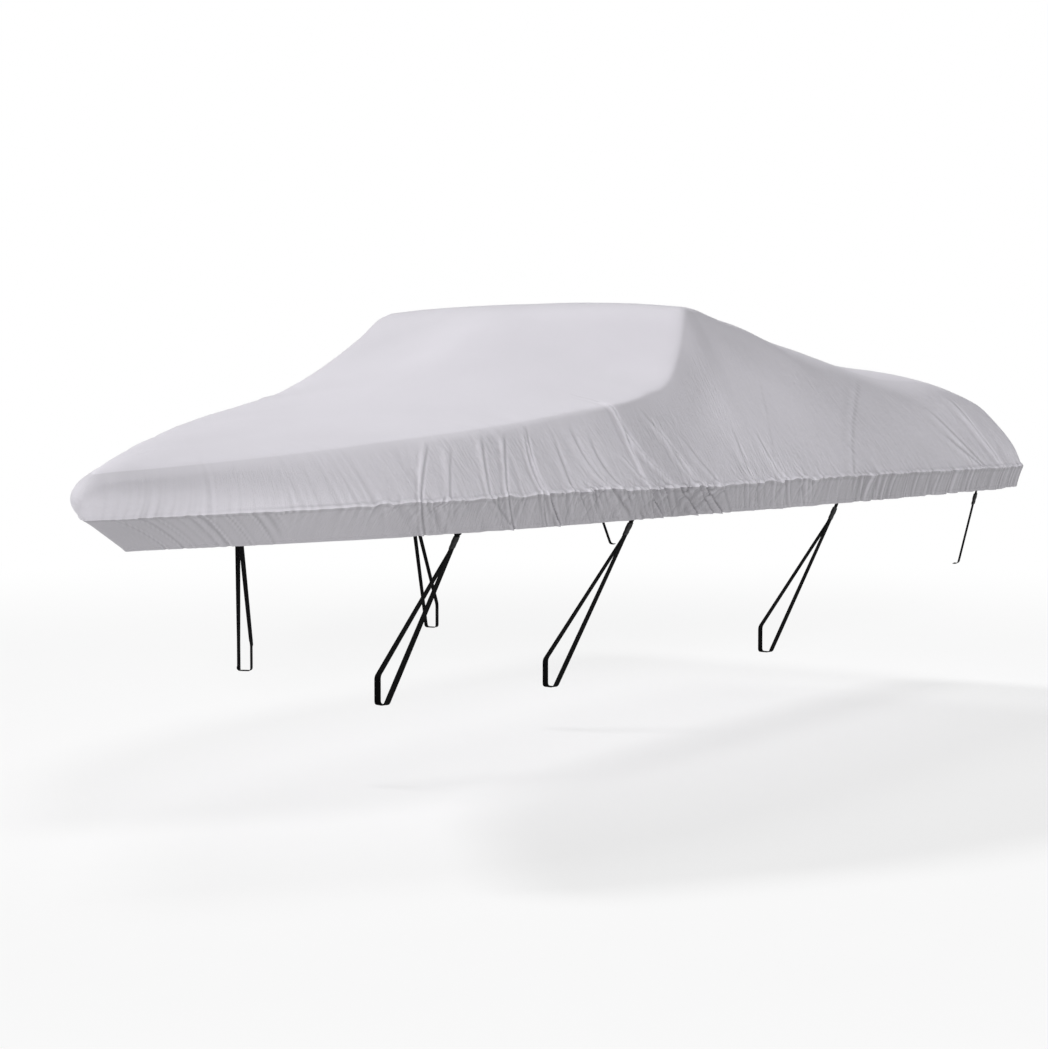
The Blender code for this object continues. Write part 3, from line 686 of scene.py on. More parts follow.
def cloth_normals(points):
    """Outward directions of a grid of points of the half cover."""
    run = np.gradient(points, axis=0)
    run[0] = (0.0, 1.0, 0.0)
    run[-1] = (0.0, -1.0, 0.0)
    rise = np.gradient(points, axis=1)
    normals = unit(np.cross(rise, run))
    on_centreline = points[..., 1] < 1e-9
    normals[on_centreline, 1] = 0.0
    return unit(normals)


def lengths_up(along):
    """Lengths of the side, from the seam to the shoulder, and of the skirt, at each distance along."""
    hem, seam, edge = lines_of(along)[:3]
    return np.linalg.norm(edge - seam, axis=1), np.linalg.norm(hem - seam, axis=1)


# ---------------------------------------------------------------- what stands out of the smooth cloth


def eased(share):
    share = np.clip(share, 0, 1)
    return share * share * (3 - 2 * share)


def bump(offset):
    return np.exp(-(offset**2))


def ripple(places, seed):
    """A smooth random curve from -1 to 1 that turns about once for each unit of places."""
    knots = np.random.default_rng(seed).uniform(-1, 1, RIPPLE_KNOTS)
    whole = np.floor(places).astype(int)
    ease = eased(places - whole)
    return knots[whole % RIPPLE_KNOTS] * (1 - ease) + knots[(whole + 1) % RIPPLE_KNOTS] * ease


def swell(x, y, pitch, seed):
    """Soft waves in every direction, each about pitch long."""
    random = np.random.default_rng(seed)
    total = np.zeros(np.broadcast_shapes(np.shape(x), np.shape(y)))
    for _ in range(SWELL_WAVES):
        heading, phase = random.uniform(0, 2 * math.pi, 2)
        number = 2 * math.pi / (pitch * random.uniform(*SWELL_VARY))
        total += np.sin(number * (x * math.cos(heading) + y * math.sin(heading)) + phase)
    return total / math.sqrt(SWELL_WAVES)


def ridge_profile(offset):
    """The height across a fold, at offsets in its widths."""
    forward = bump(np.minimum(offset, 0) / FOLD_FORWARD)
    aft = bump(np.maximum(offset, 0) / FOLD_AFT)
    dip = DIP_DEPTH * bump((offset - DIP_AT) / DIP_WIDTH)
    faint_dip = FAINT_DIP_DEPTH * bump((offset - FAINT_DIP_AT) / FAINT_DIP_WIDTH)
    return forward * aft - dip - faint_dip


def bowed(row, share):
    """Distances along the seam of a line through a row's three places, at shares of the way to its head."""
    return (
        row.seam_s * 2 * (share - 0.5) * (share - 1)
        - row.mid_s * 4 * share * (share - 1)
        + row.head_s * 2 * share * (share - 0.5)
    )


def across_line(along, line, lift):
    """Distances across the cloth from a line that slants along it."""
    slant = np.gradient(line, axis=1) / np.maximum(np.abs(np.gradient(lift, axis=1)), 1e-6)
    return (along - line) / np.sqrt(1 + slant**2)


def fold_relief(folds, along, up, lift):
    height = np.zeros(lift.shape)
    for fold in folds:
        share = np.clip(up, 0, None) / fold.head_up
        line = np.where(share > 1, fold.head_s, bowed(fold, share))
        line = line + (fold.hem_s - fold.seam_s) * np.clip(-up, 0, 1)
        fade = eased(FOLD_FADE * (1 - share)) * np.where(up < 0, fold.skirt, 1.0)
        width = fold.width * (FOLD_NARROW + FOLD_SPREAD * np.clip(share, 0, 1))
        height += fold.height * fade * ridge_profile(across_line(along, line, lift) / width)
    return height


def pleat_relief(along, up, lift):
    height = np.zeros(lift.shape)
    fade = eased(1 + lift / PLEAT_REACH)
    for pleat in PLEATS:
        line = pleat.seam_s + (pleat.hem_s - pleat.seam_s) * np.clip(-up, 0, 1)
        height += pleat.height * fade * ridge_profile(across_line(along, line, lift) / pleat.width)
    return height


def pucker_relief(along, lift, side):
    height = np.zeros(lift.shape)
    for number, row in enumerate(PUCKERS):
        seed = PUCKER_SEED + 2 * number + (side == STARBOARD)
        inside = eased((along - row.start) / PUCKER_ENDS) * eased((row.end - along) / PUCKER_ENDS)
        fade = np.where(lift > 0, np.exp(-lift / row.above), SKIRT_PUCKERS * np.exp(lift / row.below))
        waves = ripple((along + row.lean * lift) / row.pitch, seed)
        groups = ripple(along / (PUCKER_GROUP * row.pitch), seed + PUCKER_GROUP_SEED)
        strength = PUCKER_MEAN + PUCKER_VARY * groups
        crests = PUCKER_CREST * (1 - 2 * np.abs(waves))
        height += row.height * inside * fade * strength * (PUCKER_WAVE * waves + crests)
    return height


def pack_relief(along, up, lift, side):
    height = np.zeros(lift.shape)
    for number, row in enumerate(PACK_LINES):
        share = np.clip(up, 0, None) / row.head_up
        fade = eased(PACK_FADE * (1 - share)) * eased(lift / PACK_SEAM_REACH)
        offset = across_line(along, bowed(row, share), lift) / row.width
        cross = ripple(lift / PACK_PUCKER, PACK_SEED + number + side) * bump(offset / PACK_CROSS_WIDTH)
        height += row.height * fade * (PACK_CREASE * ridge_profile(offset) + PACK_CROSS * cross)
    return height


def seam_relief(lift, length, is_top):
    """The ledge and the stitched groove of the seam or, on the skirt, the way it stands out and its hem."""
    if is_top:
        ledge = LEDGE * eased(1 - (lift - LEDGE_FLAT) / LEDGE_FALL)
        groove = SEAM_GROOVE * bump((lift - SEAM_GROOVE_AT) / SEAM_GROOVE_WIDTH)
        return ledge - groove - EDGE_ROUND * eased(1 - lift / EDGE_ROUND)
    rise = length + lift
    stand = SKIRT_STAND * bump(lift / SKIRT_STAND_REACH)
    hem = HEM_STEP * eased(0.5 + (HEM_WIDTH - rise) / HEM_STEP_REACH)
    groove = HEM_GROOVE * bump((rise - HEM_WIDTH) / HEM_GROOVE_WIDTH)
    return stand + hem - groove - HEM_ROUND * eased(1 - rise / HEM_ROUND_REACH)


def sewn_flat(along, lift, length, side):
    """From 0 where a strap's tab is sewn behind the hem, which holds the cloth flat, to 1 away from it."""
    flat = np.ones(lift.shape)
    for strap in STRAPS:
        if strap.side == side:
            beside = bump((along - along_at(strap.hem_x)) / FLAT_BY_TAB)
            flat *= 1 - beside * eased(-lift / length * FLAT_GROWTH)
    return flat


def near_ends(along):
    """From 0 at the stem and at the middle of the transom, where the halves meet, to 1 away from them."""
    return eased(along / END_REACH) * eased((seam_distances()[-1] - along) / END_REACH)


def relief(points, along, up, lift, side, is_top):
    """How far the cloth stands out of its smooth shape at each place of one half of the cover."""
    cloth = bpy.context.scene.cover_cloth
    folds = PORT_FOLDS if side == PORT else STARBOARD_FOLDS
    height = fold_relief(folds, along, up, lift) * cloth.fold_height
    height += pucker_relief(along, lift, side) * cloth.pucker_height
    skirt_length = lengths_up(along[:, 0])[1][:, None]
    if is_top:
        height += pack_relief(along, up, lift, side)
        height *= eased((2 - up) / RIDGE_REACH)
    else:
        height += pleat_relief(along, up, lift) * cloth.fold_height
        height *= sewn_flat(along, lift, skirt_length, side)
    height *= near_ends(along)
    height += seam_relief(lift, skirt_length, is_top)
    aft = eased((points[..., 0] - AFT_START) / AFT_REACH)
    wave = swell(points[..., 0], side * points[..., 1] + points[..., 2], SWELL_PITCH, SWELL_SEED)
    spread = eased(up / SWELL_SEAM_REACH) if is_top else 0.0
    off_middle = eased(np.abs(points[..., 1]) / SWELL_MIDDLE_REACH)
    return height + wave * spread * off_middle * (TOP_SWELL + (AFT_SWELL - TOP_SWELL) * aft)


def seam_wander(along, side):
    """How far the seam strays up or down from its smooth line."""
    coarse = ripple(along / WANDER_PITCH, WANDER_COARSE_SEED + side)
    fine = ripple(along / (WANDER_FINE_PITCH * WANDER_PITCH), WANDER_FINE_SEED + side)
    share = np.interp(along, WANDER_AT, WANDER_SHARE) * near_ends(along)
    return WANDER * share * (WANDER_COARSE * coarse + WANDER_FINE * fine)


def cloth_grid(along, up, side, is_top):
    """One half of the cover: the smooth points, the directions out of it, the relief and the lifts.

    The top's rows run up from the seam, and the skirt's rows run down from it.
    """
    points = smooth_cloth(along, up)
    normals = cloth_normals(points) * (1 if is_top else -1)
    lift = np.concatenate(
        [np.zeros((len(along), 1)), np.cumsum(np.linalg.norm(np.diff(points, axis=1), axis=2), axis=1)],
        axis=1,
    )
    if not is_top:
        lift = -lift
    normals[:, 0] = outward(points[:, 0])
    height = relief(points, along[:, None], up, lift, side, is_top)
    points[..., 2] += seam_wander(along, side)[:, None] * bump(lift / WANDER_REACH)
    lean = between_sections(along)[:, at_row("lean")][:, None] * np.clip(up, 0, 1)
    points[..., 2] -= side * lean * points[..., 1] / HEADER_END
    flip = np.array([1.0, side, 1.0])
    return points * flip, normals * flip, height, lift


def along_at(seam_x):
    """The distance along the seam at which a side of the cover is this far aft."""
    along = np.linspace(0, seam_distances()[-1], SEARCH_POINTS)
    aft = between_sections(along)[:, at_row("seam_x")]
    last = np.argmax(aft)
    return float(np.interp(seam_x, aft[:last], along[:last]))


def columns(spacing):
    """Distances along the seam of the columns of vertices, closer together where the folds are finer."""
    places = np.linspace(0, seam_distances()[-1], MEASURE_POINTS)
    middle = (places[1:] + places[:-1]) / 2
    counted = np.cumsum(np.diff(places) / np.interp(middle, SPACING_AT, spacing))
    counted = np.concatenate([[0.0], counted])
    total = PLAIN_STEP * math.ceil(counted[-1] / PLAIN_STEP)
    return np.interp(np.linspace(0, counted[-1], total + 1), counted, places)


def top_ups(along):
    """Heights of the top panel's rows: close together by the seam, then even to the shoulder and over it."""
    length = lengths_up(along)[0][:, None]
    by_seam = np.array(SEAM_LIFTS) / length
    share = np.linspace(0, 1, SIDE_ROWS + 1)[1:]
    side = by_seam[:, -1:] + (1 - by_seam[:, -1:]) * share
    over = np.broadcast_to(TOP_UPS, (len(along), len(TOP_UPS)))
    return np.concatenate([by_seam, side, over], axis=1)


def skirt_ups(along):
    """Heights of the skirt's rows, from the seam down: close together by the seam and in the hem."""
    length = lengths_up(along)[1][:, None]
    by_seam = np.array(SEAM_DROPS) / length
    by_hem = 1 - np.array(HEM_RISES) / length
    share = np.linspace(0, 1, SKIRT_MIDDLE_ROWS + 2)[1:-1]
    middle = by_seam[:, -1:] + (by_hem[:, :1] - by_seam[:, -1:]) * share
    return -np.concatenate([by_seam, middle, by_hem], axis=1)


# ---------------------------------------------------------------- meshes


def finished_object(name, mesh, finish):
    mesh.materials.clear()
    mesh.materials.append(finish)
    made = bpy.data.objects.new(name, mesh)
    bpy.context.scene.collection.objects.link(made)
    return made


def mesh_from(name, points, faces, places, attributes=None):
    """A smooth-shaded closed mesh from points in design places, with a UV map of places in metres."""
    mesh = bpy.data.meshes.new(name)
    mesh.from_pydata((np.asarray(points) - ORIGIN).tolist(), [], faces)
    for kind, values in (attributes or {}).items():
        mesh.attributes.new(kind, "FLOAT", "POINT").data.foreach_set("value", values.astype(np.float32))
    layer = mesh.uv_layers.new(name="cloth")
    corners = np.empty(len(mesh.loops), np.int32)
    mesh.loops.foreach_get("vertex_index", corners)
    layer.data.foreach_set("uv", np.asarray(places, np.float32)[corners].ravel())
    work = bmesh.new()
    work.from_mesh(mesh)
    bmesh.ops.remove_doubles(work, verts=work.verts, dist=MERGE_WITHIN)
    bmesh.ops.recalc_face_normals(work, faces=work.faces)
    if not all(edge.is_manifold for edge in work.edges):
        raise RuntimeError(f"{name} isn't one closed surface")
    work.to_mesh(mesh)
    work.free()
    mesh.shade_smooth()
    mesh.set_sharp_from_angle(angle=SHARP_ANGLE)
    return mesh


def quads(grid):
    """Faces between neighbouring vertices of a grid of vertex numbers."""
    corners = [grid[:-1, :-1], grid[1:, :-1], grid[1:, 1:], grid[:-1, 1:]]
    return np.stack(corners, axis=-1).reshape(-1, 4).tolist()


def joined(fine, coarse):
    """Triangles between a line of vertices and a line with fewer, whose ends match."""
    ratio = (len(fine) - 1) // (len(coarse) - 1)
    faces = []
    for number in range(len(coarse) - 1):
        first = number * ratio
        middle = first + ratio // 2
        for here in range(first, first + ratio):
            apex = coarse[number] if here < middle else coarse[number + 1]
            faces.append((fine[here], fine[here + 1], apex))
        faces.append((fine[middle], coarse[number + 1], coarse[number]))
    return [tuple(int(corner) for corner in face) for face in faces]


def lowest_nearby(height, reach_across, reach_up):
    """The lowest relief within a few columns and rows of each place."""
    lowest = height.copy()
    for shift in range(1, reach_across + 1):
        lowest[shift:] = np.minimum(lowest[shift:], height[:-shift])
        lowest[:-shift] = np.minimum(lowest[:-shift], height[shift:])
    across = lowest.copy()
    for shift in range(1, reach_up + 1):
        lowest[:, shift:] = np.minimum(lowest[:, shift:], across[:, :-shift])
        lowest[:, :-shift] = np.minimum(lowest[:, :-shift], across[:, shift:])
    return lowest


def hollows(height):
    """How far each place lies below its neighbours along the seam: from -1 on a crest to 1 in a trough."""
    near = np.pad(height, ((HOLLOW_REACH, HOLLOW_REACH), (0, 0)), mode="edge")
    around = (near[2 * HOLLOW_REACH :] + near[: -2 * HOLLOW_REACH]) / 2
    return np.clip((around - height) / HOLLOW_DEPTH, -1, 1)


def cloth_mesh(name, spacing, heights, is_top, coarse_row, inner_rows):
    """A cloth panel right round the boat: a fine outer face, a plainer inner one, and the cut edges."""
    thickness = bpy.context.scene.cover_cloth.thickness
    points, places, faces = [], [], []

    def add(new_points, new_places):
        first = sum(len(block) for block in points)
        shape = new_points.shape[:2]
        points.append(new_points.reshape(-1, 3))
        places.append(new_places.reshape(-1, 4))
        return first + np.arange(shape[0] * shape[1]).reshape(shape)

    for side in (PORT, STARBOARD):
        step = 1 if side == PORT else STARBOARD_STEP
        along = columns(spacing)
        ups = heights(along)
        smooth, normals, height, lift = cloth_grid(along, ups, side, is_top)
        if not is_top:
            smooth[:, 0, 2] -= PANEL_GAP
        run = np.broadcast_to(side * along[:, None], lift.shape)
        flat = np.stack([run, lift, ups, hollows(height)], axis=-1)
        outer = smooth + normals * height[..., None]
        fine = add(outer[::step, : coarse_row + 1], flat[::step, : coarse_row + 1])
        faces += quads(fine)
        if coarse_row + 1 < outer.shape[1]:
            coarse = add(outer[::PLAIN_STEP, coarse_row + 1 :], flat[::PLAIN_STEP, coarse_row + 1 :])
            faces += quads(coarse)
            faces += joined(fine[:, -1], coarse[:, 0])
        depth = thickness - lowest_nearby(height, PLAIN_STEP, INNER_REACH)
        depth[[0, -1]] = thickness - lowest_nearby(height[[0, -1]], 0, INNER_REACH)
        depth[:, [0, -1]] = thickness - height[:, [0, -1]]
        if is_top:
            depth[:, -1] = thickness
        inner = (smooth - normals * depth[..., None])[::PLAIN_STEP][:, inner_rows]
        inside = add(inner, flat[::PLAIN_STEP][:, inner_rows])
        faces += quads(inside)
        faces += joined(fine[:, 0], inside[:, 0])
        if not is_top:
            faces += joined(fine[:, -1], inside[:, -1])
    places = np.concatenate(places)
    attributes = {"up": places[:, 2], "hollow": places[:, 3]}
    return mesh_from(name, np.concatenate(points), faces, places[:, :2], attributes)


def surface_line(along, distance, side, is_top, proud):
    """Points on the cloth's outer face, this far above the seam or above the hem's edge, and the ways out."""
    side_length, skirt_length = lengths_up(along)
    if is_top:
        rows = np.stack([0 * along, distance / side_length, NEXT_TOP_ROW * distance / side_length], axis=1)
    else:
        up = distance / skirt_length - 1
        rows = np.stack([0 * along, up, up - NEXT_SKIRT_ROW], axis=1)
    smooth, normals, height, _ = cloth_grid(along, rows, side, is_top)
    outer = smooth + normals * (height + proud)[..., None]
    return outer[:, 1], normals[:, 1]


# ---------------------------------------------------------------- materials


class Value:
    """A number in a material: expressions on it add Math nodes."""

    def __init__(self, finish, socket):
        self.finish = finish
        self.socket = socket

    def _math(self, operation, *values):
        made = self.finish.node("ShaderNodeMath", {"operation": operation}, dict(enumerate(values)))
        return made.value()

    def __add__(self, other):
        return self._math("ADD", self, other)

    def __radd__(self, other):
        return self._math("ADD", other, self)

    def __sub__(self, other):
        return self._math("SUBTRACT", self, other)

    def __rsub__(self, other):
        return self._math("SUBTRACT", other, self)

    def __mul__(self, other):
        return self._math("MULTIPLY", self, other)

    def __rmul__(self, other):
        return self._math("MULTIPLY", other, self)

    def __abs__(self):
        return self._math("ABSOLUTE", self)

    def sine(self):
        return self._math("SINE", self)

    def clamped(self):
        made = self.finish.node("ShaderNodeClamp", {}, {"Value": self})
        return made.value()


class Placed:
    """A node in a material, with its outputs by name or number."""

    def __init__(self, finish, node):
        self.finish = finish
        self.node = node

    def value(self, output=0):
        return Value(self.finish, self.node.outputs[output])

    def out(self, output=0):
        return self.node.outputs[output]


class Finish:
    """A material whose nodes are added one call at a time."""

    def __init__(self, name):
        old = bpy.data.materials.get(name)
        if old:
            bpy.data.materials.remove(old)
        self.material = bpy.data.materials.new(name)
        self.material.use_nodes = True
        self.nodes = self.material.node_tree.nodes
        self.links = self.material.node_tree.links
        self.shader = self.nodes["Principled BSDF"]

    def plug(self, socket, value):
        if isinstance(value, Value):
            value = value.socket
        if isinstance(value, bpy.types.NodeSocket):
            self.links.new(value, socket)
        else:
            socket.default_value = value

    def node(self, kind, settings, values):
        made = self.nodes.new(kind)
        for name, setting in settings.items():
            setattr(made, name, setting)
        for name, value in values.items():
            self.plug(made.inputs[name], value)
        return Placed(self, made)

    def set(self, **values):
        """Values of the shader's sockets, with spaces in their names written as underscores."""
        for name, value in values.items():
            self.plug(self.shader.inputs[name.replace("_", " ")], value)

    def object_places(self):
        return self.node("ShaderNodeTexCoord", {}, {}).out("Object")

    def map_places(self):
        return self.node("ShaderNodeUVMap", {"uv_map": "cloth"}, {}).out()

    def attribute(self, name):
        return self.node("ShaderNodeAttribute", {"attribute_name": name}, {}).value("Fac")

    def ramped(self, value, ramp):
        """Low where the value is at start and high where it is at end, with a soft change between."""
        ends = {"From Min": ramp.start, "From Max": ramp.end, "To Min": ramp.low, "To Max": ramp.high}
        values = {"Value": value, **ends}
        return self.node("ShaderNodeMapRange", {"interpolation_type": "SMOOTHSTEP"}, values).value()

    def noise(self, vector, scale, detail, roughness=0.5):
        values = {"Vector": vector, "Scale": scale, "Detail": detail, "Roughness": roughness}
        return self.node("ShaderNodeTexNoise", {}, values).value("Fac")

    def scaled(self, vector, scale):
        return self.node("ShaderNodeVectorMath", {"operation": "MULTIPLY"}, {0: vector, 1: scale}).out()

    def turned(self, vector, angle, scale):
        values = {"Vector": vector, "Rotation": (0.0, 0.0, angle), "Scale": scale}
        return self.node("ShaderNodeMapping", {"vector_type": "POINT"}, values).out()

    def split(self, vector):
        made = self.node("ShaderNodeSeparateXYZ", {}, {0: vector})
        return made.value(0), made.value(1), made.value(2)

    def mixed(self, factor, first, second):
        values = {"Factor": factor, 6: (*first, 1.0), 7: (*second, 1.0)}
        return self.node("ShaderNodeMix", {"data_type": "RGBA"}, values).out(2)

    def bumped(self, height, strength=1.0):
        """The normal of a surface with this relief, in metres."""
        values = {"Strength": strength, "Distance": 1.0, "Height": height}
        return self.node("ShaderNodeBump", {}, values).out()


def shades(colour, factors):
    """The colour made darker and paler by two factors."""
    return [tuple(min(channel * factor, 1.0) for channel in colour) for factor in factors]


def crests_of(pattern):
    """1 where a pattern is halfway between its lowest and highest, falling away to 0 at both."""
    return 1.0 - abs(pattern * 2.0 - 1.0)


def cloth_finish(name, colour):
    """Plain woven polyester: yarns both ways, and fine wrinkles drawn down the cloth on the sides, with
    painted light and shade in its colour.
    """
    finish = Finish(name)
    places, spots = finish.map_places(), finish.object_places()
    run, rise, _ = finish.split(places)
    forward, starboard, high = finish.split(spots)
    up, hollow = finish.attribute("up"), finish.attribute("hollow")
    turns = 2 * math.pi / bpy.context.scene.cover_cloth.yarn_pitch
    weave = (run * turns).sine() * (rise * turns).sine()

    # Fine wrinkles come in patches. They fade out over the shoulder, at the bow and high behind the header.
    behind = finish.ramped(abs(forward - BEHIND_AT), BEHIND_HEADER)
    calm = finish.ramped(up, WRINKLED_SIDE) * finish.ramped(forward, CALM_BOW)
    calm = calm * (1.0 - behind * finish.ramped(up, ABOVE_GATHERS))
    patches = finish.noise(spots, scale=3.2, detail=2.0)
    strength = calm * (patches * PATCH_GAIN - PATCH_LOSS).clamped()
    crinkle = finish.noise(spots, scale=42.0, detail=5.0, roughness=0.66)
    drawn = finish.noise(finish.scaled(places, DRAWN_SCALE), scale=1.0, detail=4.0, roughness=0.62)
    slanted = finish.turned(places, SLANTED_TURN, SLANTED_SCALE)
    slants = crests_of(finish.noise(slanted, scale=1.0, detail=3.0, roughness=0.6))
    crests = crests_of(drawn)

    # Broad painted light and shade: on the top, painted light low down and painted shade on its far corner;
    # on the side, painted shade below the shoulder, by the header, below its corner and at the stem, and
    # painted light and shade behind the header.
    over = finish.ramped(up, OVER_SHOULDER)
    # Painted light on the low top, and painted shade on its far corner.
    far_top_painted_shade = finish.ramped(starboard, FAR_TOP) * finish.ramped(high, FAR_HIGH)
    painted_top_shading = finish.ramped(high, LOW_TOP) - far_top_painted_shade
    header_painted_shade = finish.ramped(abs(forward - HEADER_AT), HEADER_SHADE)
    corner_painted_shade = finish.ramped(abs(forward - CORNER_AT), CORNER_SHADE) * finish.ramped(up, CORNER_HIGH)
    # Painted shade on the side below the shoulder, by the header, below its corner and at the stem, and
    # painted light low down behind the header.
    painted_side_shading = behind * (PAINTED_LIGHT_TONE - finish.ramped(up, PAINTED_SHADE_HIGH)) - SIDE_SHADE_TONE
    painted_side_shading = painted_side_shading - header_painted_shade - corner_painted_shade - finish.ramped(forward, SHADED_STEM)
    tone = over * painted_top_shading + (1.0 - over) * painted_side_shading

    # Fine changes of tone: the weave and random unevenness, painted shade and light that follow the wrinkles,
    # a painted highlight along the seam's edge, a painted shadow below it, and painted shade in the creases
    # with a painted highlight on their crests.
    uneven = finish.noise(spots, scale=2.4, detail=3.0, roughness=0.55)
    tone = tone + (uneven - 0.5) * UNEVEN_TONE + weave * WEAVE_TONE
    # Painted shade and light that follow the fine wrinkles.
    tone = tone + (drawn - 0.5) * strength * DRAWN_SHADING_TONE + (crinkle - 0.5) * calm * CRINKLE_SHADING_TONE
    # A painted highlight along the seam's turned-under edge.
    seam_highlight = finish.ramped(abs(rise - SEAM_HIGHLIGHT_AT), SEAM_HIGHLIGHT)
    # A painted shadow on the cloth tucked in below the seam, darkest on the wrinkles' crests.
    seam_shadow = finish.ramped(abs(rise - SEAM_SHADOW_AT), SEAM_SHADOW) * (SEAM_SHADOW_LEAST + crests * SEAM_SHADOW_CRESTS)
    # Painted shade in the creases' troughs and a painted highlight on their crests, stronger on the skirt.
    painted_crease_shading = hollow.clamped() * TROUGH_SHADE_TONE - (hollow * -1.0).clamped() * CREST_HIGHLIGHT_TONE
    tone = tone + seam_highlight - seam_shadow - painted_crease_shading * finish.ramped(up, CREASE_SHADING_ON_SKIRT)
    finish.set(Base_Color=finish.mixed((tone * 0.5 + 0.5).clamped(), *shades(colour, CLOTH_SHADES)))

    finish.set(Roughness=CLOTH_ROUGHNESS + (crinkle - 0.5) * CRINKLE_ROUGHNESS + weave * WEAVE_ROUGHNESS)
    wrinkles = (crests * DRAWN_HEIGHT + slants * SLANTED_HEIGHT) * strength + crinkle * calm * CRINKLE_HEIGHT
    finish.set(Normal=finish.bumped(wrinkles + weave * WEAVE_HEIGHT))
    finish.set(Metallic=0.0, Specular_IOR_Level=0.34, Sheen_Weight=0.16, Sheen_Roughness=0.45)
    finish.set(Sheen_Tint=(0.95, 0.95, 1.0, 1.0))
    return finish.material


def thread_finish():
    """Bonded sewing thread, its twist running round it."""
    finish = Finish("sewing_thread")
    colour = bpy.context.scene.cover_stitching.colour
    x, y, z = finish.split(finish.object_places())
    twist = ((x + y + z) * THREAD_TWIST).sine()
    finish.set(Base_Color=finish.mixed((twist * 0.5 + 0.5).clamped(), *shades(colour, THREAD_SHADES)))
    finish.set(Roughness=0.5, Specular_IOR_Level=0.4, Sheen_Weight=0.1)
    return finish.material


def webbing_finish():
    """Woven polypropylene webbing: ribs across it, and yarns along it."""
    straps = bpy.context.scene.cover_straps
    finish = Finish("webbing")
    run, rise, _ = finish.split(finish.map_places())
    ribs = (rise * (2 * math.pi / straps.rib_pitch)).sine()
    yarns = (run * (2 * math.pi / (YARN_SHARE * straps.rib_pitch))).sine()
    weave = ribs * RIB_SHARE + ribs * yarns * (1 - RIB_SHARE)
    wear = finish.noise(finish.object_places(), scale=30.0, detail=3.0)
    factor = (weave * WEBBING_WEAVE_TONE + wear * WEBBING_WEAR_TONE + WEBBING_TONE).clamped()
    finish.set(Base_Color=finish.mixed(factor, *shades(straps.webbing_colour, WEBBING_SHADES)))
    finish.set(Roughness=WEBBING_ROUGHNESS + wear * WEAR_ROUGHNESS)
    finish.set(Normal=finish.bumped(weave * RIB_HEIGHT, strength=0.7))
    finish.set(Specular_IOR_Level=0.05)
    return finish.material


def buckle_finish():
    """Moulded acetal with a fine grain and scuffs."""
    finish = Finish("buckle_plastic")
    colour = bpy.context.scene.cover_straps.buckle_colour
    grain = finish.noise(finish.object_places(), scale=900.0, detail=2.0)
    scuffs = finish.noise(finish.object_places(), scale=70.0, detail=4.0, roughness=0.7)
    finish.set(Base_Color=finish.mixed(scuffs, *shades(colour, BUCKLE_SHADES)))
    finish.set(Roughness=BUCKLE_ROUGHNESS + scuffs * SCUFF_ROUGHNESS)
    relief_height = grain * GRAIN_HEIGHT + scuffs * SCUFF_HEIGHT
    finish.set(Normal=finish.bumped(relief_height, strength=0.6))
    finish.set(Specular_IOR_Level=0.16)
    return finish.material


def floor_finish():
    """A pale floor that turns to plain white far from the cover."""
    finish = Finish("studio_floor")
    places = finish.object_places()
    reach = finish.node("ShaderNodeVectorMath", {"operation": "LENGTH"}, {0: places}).value("Value")
    grain = finish.noise(places, scale=3.0, detail=2.0)
    finish.set(Base_Color=finish.mixed(grain, *FLOOR_SHADES), Roughness=0.9)
    finish.set(Specular_IOR_Level=0.1)
    glow = finish.node("ShaderNodeEmission", {}, {"Color": WHITE, "Strength": 1.0}).out()
    values = {0: finish.ramped(reach, FLOOR_WHITE), 1: finish.shader.outputs[0], 2: glow}
    mix = finish.node("ShaderNodeMixShader", {}, values).out()
    finish.plug(finish.nodes["Material Output"].inputs["Surface"], mix)
    return finish.material


# ---------------------------------------------------------------- straps and buckles


def rounded_path(corners, reach, steps):
    """The corners' path with each inner corner turned into a short curve."""
    path = [corners[0]]
    for before, corner, after in zip(corners, corners[1:-1], corners[2:]):
        start = corner + unit(before - corner) * reach
        end = corner + unit(after - corner) * reach
        for step in range(steps + 1):
            s = step / steps
            path.append((1 - s) ** 2 * start + 2 * s * (1 - s) * corner + s**2 * end)
    path.append(corners[-1])
    return np.array(path)


def spaced(rows, most):
    """Rows that begin with a place, with rows added so that no place is further than most from the next."""
    made = [rows[0]]
    for here, there in zip(rows, rows[1:]):
        count = max(1, math.ceil(np.linalg.norm((there - here)[:3]) / most))
        made += [here + (there - here) * step / count for step in range(1, count + 1)]
    return np.array(made)


def webbing_section(width, thickness):
    """Corners round a strip of webbing, as places across it and out of its face: round edges, flat faces."""
    edge = thickness / 2
    turn = np.linspace(-math.pi / 2, math.pi / 2, WEBBING_EDGE_POINTS)
    right = np.stack([width / 2 - edge + edge * np.cos(turn), edge * np.sin(turn)], axis=1)
    inner = np.array([[width / 4, edge], [0.0, edge * WEBBING_MIDDLE], [-width / 4, edge]])
    left = -right
    return np.concatenate([right, inner, left, -inner])


